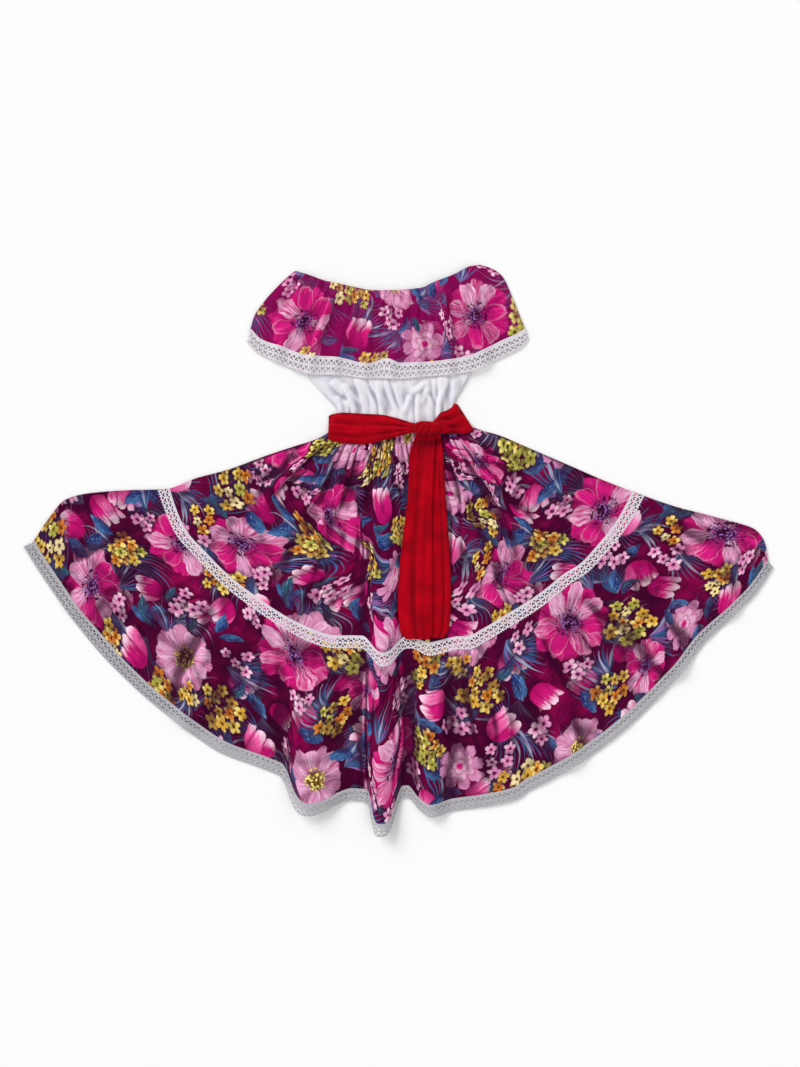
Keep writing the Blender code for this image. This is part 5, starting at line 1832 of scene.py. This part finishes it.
def fill_gaps(line):
    """Fills a line's gaps from the values on either side of them."""
    known = ~np.isnan(line)
    if known.any():
        line[:] = np.interp(np.arange(len(line)), np.flatnonzero(known), line[known])


def solid_below(node, plan):
    """How high the underside of a frame's solid lies over a plan."""
    mesh = frame["nodes"][node].data
    faces = [tuple(face.vertices) for face in mesh.polygons]
    tree = BVHTree.FromPolygons([tuple(point.co) for point in mesh.vertices], faces)
    height = np.full(plan.shape[:2], np.nan)
    for row, column in np.ndindex(*height.shape):
        x, y = (plan[row, column] + ORIGIN[:2]) * MM
        hit = tree.ray_cast((x, y, -1.0), (0, 0, 1))[0]
        if hit:
            height[row, column] = hit.z / MM
    for line in (*height, *height.T):
        fill_gaps(line)
    return height


# A wrinkle of the sash: how far across the sash it starts and ends, the same along it, its reach to either
# side as a share of the width, and its height.
Wrinkle = namedtuple("Wrinkle", "down down_end start end reach height")
LEFT_WRINKLES = rows_of(
    Wrinkle,
    (0.06, 0.30, -0.2, 1.2, 0.15, 1.2), (0.30, 0.42, 0.1, 1.3, 0.11, -1.0),
    (0.42, 0.50, -0.3, 0.8, 0.14, 1.0), (0.62, 0.60, 0.2, 1.4, 0.12, 1.1),
    (0.76, 0.72, -0.3, 0.9, 0.09, -0.8), (0.90, 0.80, 0.0, 1.3, 0.12, 1.0),
    (0.20, 0.36, -0.4, 0.35, 0.09, 0.9), (0.55, 0.52, -0.3, 0.25, 0.08, -0.9),
    (0.70, 0.86, -0.4, 0.3, 0.09, 1.0), (0.16, 0.40, 0.55, 1.3, 0.09, 0.8),
    (0.80, 0.62, 0.6, 1.4, 0.08, -0.8),
)
RIGHT_WRINKLES = rows_of(
    Wrinkle,
    (0.18, 0.10, -0.4, 1.1, 0.14, 1.1), (0.36, 0.30, -0.4, 0.8, 0.09, -0.9),
    (0.50, 0.48, -0.2, 1.2, 0.14, 1.1), (0.66, 0.74, -0.4, 0.7, 0.09, -0.9),
    (0.82, 0.88, -0.3, 1.2, 0.12, 1.0),
)
OVER_WRINKLES = rows_of(
    Wrinkle,
    (0.30, 0.10, -0.3, 0.5, 0.15, 1.4), (0.50, 0.34, -0.3, 0.6, 0.09, -1.1),
    (0.62, 0.55, -0.3, 0.9, 0.14, 1.4), (0.80, 0.76, -0.3, 0.7, 0.09, -1.0),
    (0.20, 0.28, 0.35, 1.3, 0.18, 1.1), (0.50, 0.44, 0.45, 1.3, 0.21, -0.9),
    (0.72, 0.70, 0.5, 1.3, 0.15, 1.0), (0.92, 0.95, 0.1, 1.3, 0.09, 0.8),
    (0.10, 0.06, 0.5, 1.2, 0.09, 0.7),
)
UNDER_WRINKLES = rows_of(
    Wrinkle,
    (0.55, 0.62, -0.3, 0.6, 0.15, 1.2), (0.70, 0.74, -0.2, 0.9, 0.09, -1.0),
    (0.86, 0.86, -0.3, 1.2, 0.14, 1.2), (0.60, 0.66, 0.5, 1.3, 0.15, 1.0),
)


def wrinkled(shape, wrinkles):
    """The height of a sash's wrinkles over a grid that runs across it in rows and along it in columns."""
    down, along = np.meshgrid(even(shape[0]), even(shape[1]), indexing="ij")
    height = np.zeros(shape)
    for number, wrinkle in enumerate(wrinkles):
        middle = between(wrinkle.down, wrinkle.down_end, along) + 0.02 * np.sin(7 * along + 2 * number)
        share = (along - wrinkle.start) / (wrinkle.end - wrinkle.start)
        faded = smooth_step(share / 0.25) * smooth_step((1 - share) / 0.25)
        height += wrinkle.height * faded * rounded_ridge(down - middle, wrinkle.reach, wrinkle.reach)
    return height


def band_edges(outline, columns):
    """The top and bottom edge of a band, from left to right."""
    places = np.arange(len(outline), dtype=float)
    at = np.linspace(0, places[-1], columns)
    top_x, top_y, low_x, low_y = (curve(at, places, values) for values in table(outline, *Band._fields))
    return np.stack([top_x, top_y], -1), np.stack([low_x, low_y], -1)


def tail_edges(outline, columns):
    """The two edges of a tail, from its end up to the knot, so that it faces up."""
    left, right, y = table(outline, "left", "right", "y")
    down = np.linspace(y[-1], y[0], columns)
    return [np.stack([curve(-down, -y, x), down], -1) for x in (left, right)]


# Each stretch of the sash: what reads its edges from which outline, its rows and columns, and its wrinkles.
Stretch = namedtuple("Stretch", "edges outline rows columns wrinkles")
SASH = {
    "sash_band_left": Stretch(band_edges, LEFT_BAND, 56, 130, LEFT_WRINKLES),
    "sash_band_right": Stretch(band_edges, RIGHT_BAND, 50, 60, RIGHT_WRINKLES),
    "sash_tail_under": Stretch(tail_edges, UNDER_TAIL, 40, 140, UNDER_WRINKLES),
    "sash_tail_over": Stretch(tail_edges, OVER_TAIL, 56, 150, OVER_WRINKLES),
}


def sash_grid(node):
    """A stretch of the sash between its two long edges, on its solid's form. It rises into the knot."""
    made = SASH[node]
    edges = made.edges(made.outline, made.columns)
    plan = ruled(*edges, even(made.rows))
    height = smoothed(solid_below(node, ruled(*edges, np.linspace(0.02, 0.98, made.rows))), 30)
    away = np.linalg.norm((plan - KNOT_CENTRE) / (np.array(KNOT_SIZE[:2]) / 2), axis=2)
    height += KNOT_LIFT * (1 - smooth_step((away - 0.8) / KNOT_RUN))
    return np.dstack([plan, height + np.maximum(wrinkled(height.shape, made.wrinkles), -0.2)])


def sash_grids():
    """Each stretch of the sash, as its solid's node and its grid."""
    grids = {node: sash_grid(node) for node in SASH}
    plan = ruled(*band_edges(BACK_BAND, 70), even(12))
    return {**grids, "sash_back": np.dstack([plan, np.zeros(plan.shape[:2])])}


def sash_piece(name, node, grid):
    """A stretch of the sash as a thin shell, declared with its own length and width."""
    mesh = shell_mesh(name, grid, bpy.context.scene.dress_cloth.sash)
    across, along = run_of(grid)[-1], run_of(grid.swapaxes(0, 1))[-1]
    rows, columns = grid.shape[:2]
    place = np.stack(np.meshgrid(np.linspace(0, along, columns), np.linspace(0, across, rows)), -1)
    set_cut(mesh, place, False)
    # How deep each point lies in a fold sets the painted shade there.
    store_fold_shade(mesh, grid[..., 2], SASH_FULL_SHADE_DEPTH)
    piece = add_piece(name, node, mesh, "sash_cloth", finish("sash_cloth"))
    flat = (float(along) * MM, float(across) * MM)
    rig.sheet(piece, flat=flat, held="folded", **GOES_WITH[name]._asdict())


# The folds of the knot's wrap: how far from its middle each runs, its lean, bend, width and depth.
Groove = namedtuple("Groove", "place lean bend width depth")
KNOT_GROOVES = rows_of(
    Groove,
    (-0.66, 0.34, 0.20, 0.16, 2.6), (-0.16, 0.24, -0.18, 0.12, 1.8), (0.30, 0.10, -0.24, 0.15, 2.4),
    (0.74, -0.20, -0.14, 0.13, 2.2),
)


def squarer(wave):
    """A wave from -1 to 1 that stays longer near its ends."""
    return np.sign(wave) * np.abs(wave) ** 0.72


def knot_mesh():
    """The knot: a flattened wrap with soft folds over it."""
    around, rings = 96, 48
    turn = np.linspace(0, 2 * math.pi, around, endpoint=False)[None]
    rise = np.linspace(0, math.pi, rings + 2)[1:-1, None]
    out = np.sin(rise) ** 0.8 * (1 + 0.04 * np.cos(3 * turn) + 0.03 * np.sin(5 * turn))
    x, y = out * squarer(np.cos(turn)), out * squarer(np.sin(turn))
    z = np.broadcast_to(-squarer(np.cos(rise)), x.shape)
    sunk = np.zeros(x.shape)
    for groove in KNOT_GROOVES:
        distance = x - groove.place - groove.lean * y - groove.bend * y * y
        sunk += groove.depth * np.exp(-((distance / groove.width) ** 2)) * smooth_step((z + 0.4) / 0.6)
    half = np.array(KNOT_SIZE) / 2
    unit = np.dstack([x, y, z])
    points = unit * half
    points -= unit / np.linalg.norm(unit, axis=2, keepdims=True) * sunk[..., None] * [0.4, 0.4, 1.0]
    low, high = np.array([[0, 0, -half[2]]]), np.array([[0, 0, half[2]]])
    everything = np.concatenate([points.reshape(-1, 3), low, high]) + [*KNOT_CENTRE, KNOT_REST + half[2]]
    corner = np.arange(rings * around).reshape(rings, around)
    after = np.roll(corner, -1, axis=1)
    faces = [*np.stack([corner[:-1], after[:-1], after[1:], corner[1:]], -1).reshape(-1, 4)]
    faces += [[corner.size, b, a] for a, b in zip(corner[0], after[0])]
    faces += [[corner.size + 1, a, b] for a, b in zip(corner[-1], after[-1])]
    mesh = placed_mesh("sash_knot_wraps", everything, faces)
    mesh.shade_smooth()
    return mesh


# A row of stitches: the piece that it is sewn through, and where across that piece it runs, as a share.
Row = namedtuple("Row", "node middle")
LACE_ROWS = rows_of(
    Row,
    ("tier_lace_front", 0.09), ("tier_lace_front", 0.90), ("hem_lace_front", 0.11),
    ("flounce_lace_front", 0.11),
)
CASING_ROWS = rows_of(Row, ("flounce_front", 0.42))
SASH_ROWS = rows_of(
    Row,
    ("sash_band_left", 0.05), ("sash_band_left", 0.95), ("sash_band_right", 0.06),
    ("sash_band_right", 0.94), ("sash_tail_over", 0.045), ("sash_tail_over", 0.955),
    ("sash_tail_under", 0.95),
)


def stitch_rows(name, rows, grids, raised, material, slot):
    """Every row of stitches in one kind of thread, each along its own strip."""
    sizes = bpy.context.scene.dress_lace
    motif = stitch_motif()
    for number, row in enumerate(rows):
        grid = grids[row.node]
        grid = grid + raised * outwards(grid)
        half = sizes.stitch / MM / 2 / run_of(grid)[-1]
        strip = between_rows(grid, row.middle - half, row.middle + half)
        pitch = sizes.stitch_pitch / MM
        repeated(f"{name}_{number + 1}", None, strip, motif, pitch, material, slot)
    bpy.data.objects.remove(motif)


def length_property(name, description, default):
    return FloatProperty(name=name, description=description, default=default, unit="LENGTH")


def colour_property(name, description, default):
    return FloatVectorProperty(name=name, description=description, subtype="COLOR", size=4, default=default)


class ClothSizes(bpy.types.PropertyGroup):
    cotton: length_property("Cotton", "How thick the cotton is", 0.0007)
    sash: length_property("Sash", "How thick the sash is", 0.001)


class DressColours(bpy.types.PropertyGroup):
    ground: colour_property("Ground", "The print's ground", BURGUNDY)
    dark_ground: colour_property("Dark ground", "The ground's darker patches", WINE)
    bright_ground: colour_property("Bright ground", "The ground's brighter specks", MAGENTA)
    white: colour_property("White cotton", "The bodice", srgb(226, 223, 229))
    lace: colour_property("Lace", "The lace and its stitches", srgb(236, 228, 236))
    # The hem's lace is the lace painted darker, as painted shade.
    hem_lace: colour_property("Hem lace", "The lace along the hem", srgb(190, 188, 194))
    sash: colour_property("Sash", "The sash", srgb(186, 0, 24))
    thread: colour_property("Thread", "The thread of the neck's casing", srgb(120, 10, 70))


class LaceSizes(bpy.types.PropertyGroup):
    pitch: length_property("Repeat", "One repeat of the lace", 0.0107)
    thread: length_property("Thread", "How thick the lace is", 0.0004)
    stitch: length_property("Stitch", "How thick a stitch is", 0.0004)
    stitch_pitch: length_property("Stitch spacing", "From stitch to stitch", 0.0034)


class StageLight(bpy.types.PropertyGroup):
    key: FloatProperty(name="Key", description="Strength of the soft main light", default=2.5)
    fill: FloatProperty(name="Fill", description="Strength of the fill light", default=0.5)
    world: FloatProperty(name="Surroundings", description="Strength of the light all round", default=0.54)
    floor: colour_property("Floor", "The floor", (0.9, 0.9, 0.9, 1.0))


class DRESS_OT_skirt(bpy.types.Operator):
    """Makes both tiers of the skirt, front and back"""

    bl_idname = "dress.skirt"
    bl_label = "Skirt"

    def execute(self, context):
        # The rows are closer together near the waist and the seams.
        upper_rows = np.concatenate([np.linspace(0, 0.3, 42), np.linspace(0.31, 0.9995, 70)])
        lower_rows = np.concatenate([np.linspace(1.0005, 1.2, 18), np.linspace(1.215, 2, 52)])
        cloth_panel("front_upper_tier", front_skirt(follow_gathers(340, 0.5), upper_rows))
        cloth_panel("front_lower_tier", front_skirt(even(420), lower_rows))
        cloth_panel("back_upper_tier", back_skirt(even(150), np.linspace(0, 0.9995, 52)))
        cloth_panel("back_lower_tier", back_skirt(even(200), np.linspace(1.0005, 2, 38)))
        return {"FINISHED"}


class DRESS_OT_bodice(bpy.types.Operator):
    """Makes the white bodice, front and back"""

    bl_idname = "dress.bodice"
    bl_label = "Bodice"

    def execute(self, context):
        along = np.concatenate([np.linspace(0, 0.42, 62), np.linspace(0.44, 1, 24)])
        front = bodice(even(150), along, FRONT_BODICE_RISES, True)
        back = bodice(even(70), even(44), BACK_BODICE_RISES, False)
        cloth_panel("front_bodice", front)
        cloth_panel("back_bodice", back)
        return {"FINISHED"}


class DRESS_OT_flounce(bpy.types.Operator):
    """Makes the flounce, front and back"""

    bl_idname = "dress.flounce"
    bl_label = "Flounce"

    def execute(self, context):
        cloth_panel("front_flounce", front_flounce(even(210), even(58)))
        cloth_panel("back_flounce", back_flounce(even(110), even(24)))
        return {"FINISHED"}


class DRESS_OT_lace(bpy.types.Operator):
    """Makes the lace at the hem, between the tiers and round the flounce"""

    bl_idname = "dress.lace"
    bl_label = "Lace"

    def execute(self, context):
        motif = lace_motif()
        pitch = context.scene.dress_lace.pitch / MM
        for node, strip in lace_strips().items():
            # The hem's lace takes the lace painted darker, as painted shade.
            thread = finish("hem_lace" if node.startswith("hem") else "lace")
            repeated(f"{node}_net", node, strip, motif, pitch, thread, "lace")
        bpy.data.objects.remove(motif)
        return {"FINISHED"}


class DRESS_OT_sash(bpy.types.Operator):
    """Makes the sash: its bands, its knot and its two tails"""

    bl_idname = "dress.sash"
    bl_label = "Sash"

    def execute(self, context):
        add_piece("sash_knot_wraps", "sash_knot", knot_mesh(), "sash_cloth", finish("sash_cloth"))
        for node, grid in sash_grids().items():
            sash_piece(f"{node}_cloth", node, grid)
        return {"FINISHED"}


class DRESS_OT_sewing(bpy.types.Operator):
    """Makes the stitches that hold the lace, the neck's casing and the sash's hems"""

    bl_idname = "dress.sewing"
    bl_label = "Sewing"

    def execute(self, context):
        cotton = context.scene.dress_cloth.cotton / MM
        sash = context.scene.dress_cloth.sash / MM
        lace = context.scene.dress_lace.thread / MM
        thread = finish("lace")
        stitch_rows("lace_stitches", LACE_ROWS, lace_strips(), lace, thread, "lace")
        thread = finish("sewing_thread")
        casing = {"flounce_front": front_flounce(even(500), np.linspace(0, 0.2, 9))}
        stitch_rows("casing_stitches", CASING_ROWS, casing, CLEARANCE + cotton, thread, "floral_cotton")
        thread = finish("sash_cloth")
        stitch_rows("sash_stitches", SASH_ROWS, sash_grids(), CLEARANCE + sash, thread, "sash_cloth")
        return {"FINISHED"}


class DRESS_OT_stage(bpy.types.Operator):
    """Makes the floor, the lights and the camera"""

    bl_idname = "dress.stage"
    bl_label = "Stage"

    def execute(self, context):
        light = context.scene.dress_stage
        reach = 4.0
        floor = bpy.data.meshes.new("stage_floor")
        height = -0.0005
        corners = ((-reach, -reach), (reach, -reach), (reach, reach), (-reach, reach))
        floor.from_pydata([(x, y, height) for x, y in corners], [], [(0, 1, 2, 3)])
        material = bpy.data.materials.new("stage_floor")
        material.use_nodes = True
        shader = material.node_tree.nodes["Principled BSDF"]
        shader.inputs["Base Color"].default_value = light.floor
        shader.inputs["Roughness"].default_value = 0.9
        floor.materials.append(material)
        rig.stage(add_object("stage_floor", floor))
        add_sun("key", light.key, KEY_FROM, 34)
        add_sun("fill", light.fill, FILL_FROM, 60)
        world = bpy.data.worlds.new("surroundings")
        world.use_nodes = True
        background = world.node_tree.nodes["Background"].inputs
        background["Color"].default_value = (1.0, 1.0, 1.0, 1.0)
        background["Strength"].default_value = light.world
        context.scene.world = world
        context.scene.view_settings.view_transform = "Standard"
        add_camera()
        return {"FINISHED"}


# Where each light comes from.
KEY_FROM = (-2.2, 2.4, 2.1)
FILL_FROM = (2.0, -1.0, 2.6)


def add_sun(name, strength, place, spread):
    """An even light from far away, whose shadows are as soft as its spread, in degrees."""
    light = bpy.data.lights.new(name, "SUN")
    light.energy = strength
    light.angle = math.radians(spread)
    lamp = bpy.data.objects.new(name, light)
    lamp.rotation_euler = (-Vector(place)).to_track_quat("-Z", "Y").to_euler()
    bpy.context.collection.objects.link(lamp)


# The photo looks straight down on a point a little off the dress's middle. From bottom to top it takes in
# the view height, in metres.
CAMERA_PLACE = (0.0031, 0.0314)
VIEW_HEIGHT = 2.07
LENS = 50.0
SENSOR = 36.0


def add_camera():
    camera = bpy.data.cameras.new("camera")
    camera.lens = LENS
    camera.sensor_width = SENSOR
    seen = bpy.data.objects.new("camera", camera)
    seen.location = (*CAMERA_PLACE, VIEW_HEIGHT * LENS / SENSOR)
    bpy.context.collection.objects.link(seen)
    bpy.context.scene.camera = seen


class DRESS_PT_panel(bpy.types.Panel):
    """Lists what makes the dress"""

    bl_label = "Folk Dress"
    bl_idname = "DRESS_PT_panel"
    bl_space_type = "VIEW_3D"
    bl_region_type = "UI"
    bl_category = "Dress"

    def draw(self, context):
        for name in GROUPS:
            settings = getattr(context.scene, name)
            box = self.layout.box()
            for setting in settings.bl_rna.properties.keys():
                if setting not in ("rna_type", "name"):
                    box.prop(settings, setting)
        for operator in OPERATORS:
            self.layout.operator(operator.bl_idname)


GROUPS = {
    "dress_cloth": ClothSizes,
    "dress_print": DressColours,
    "dress_lace": LaceSizes,
    "dress_stage": StageLight,
}
OPERATORS = (
    DRESS_OT_stage, DRESS_OT_lace, DRESS_OT_sewing, DRESS_OT_skirt, DRESS_OT_bodice, DRESS_OT_flounce,
    DRESS_OT_sash,
)


def register():
    for kind in (*GROUPS.values(), *OPERATORS, DRESS_PT_panel):
        bpy.utils.register_class(kind)
    for name, group in GROUPS.items():
        setattr(bpy.types.Scene, name, PointerProperty(type=group))


def unregister():
    for name in GROUPS:
        delattr(bpy.types.Scene, name)
    for kind in (DRESS_PT_panel, *reversed(OPERATORS), *reversed(GROUPS.values())):
        bpy.utils.unregister_class(kind)


def main():
    register()
    bpy.ops.dress.stage()
    bpy.ops.dress.lace()
    bpy.ops.dress.sewing()
    bpy.ops.dress.skirt()
    bpy.ops.dress.bodice()
    bpy.ops.dress.flounce()
    bpy.ops.dress.sash()
    bpy.context.view_layer.update()
    boxes = {"cad": CAD_BOX, "visual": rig.bounds()}
    plain = {name: [[float(value) for value in corner] for corner in box] for name, box in boxes.items()}
    with open("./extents.json", "w") as file:
        json.dump(plain, file)


if __name__ == "__main__":
    main()
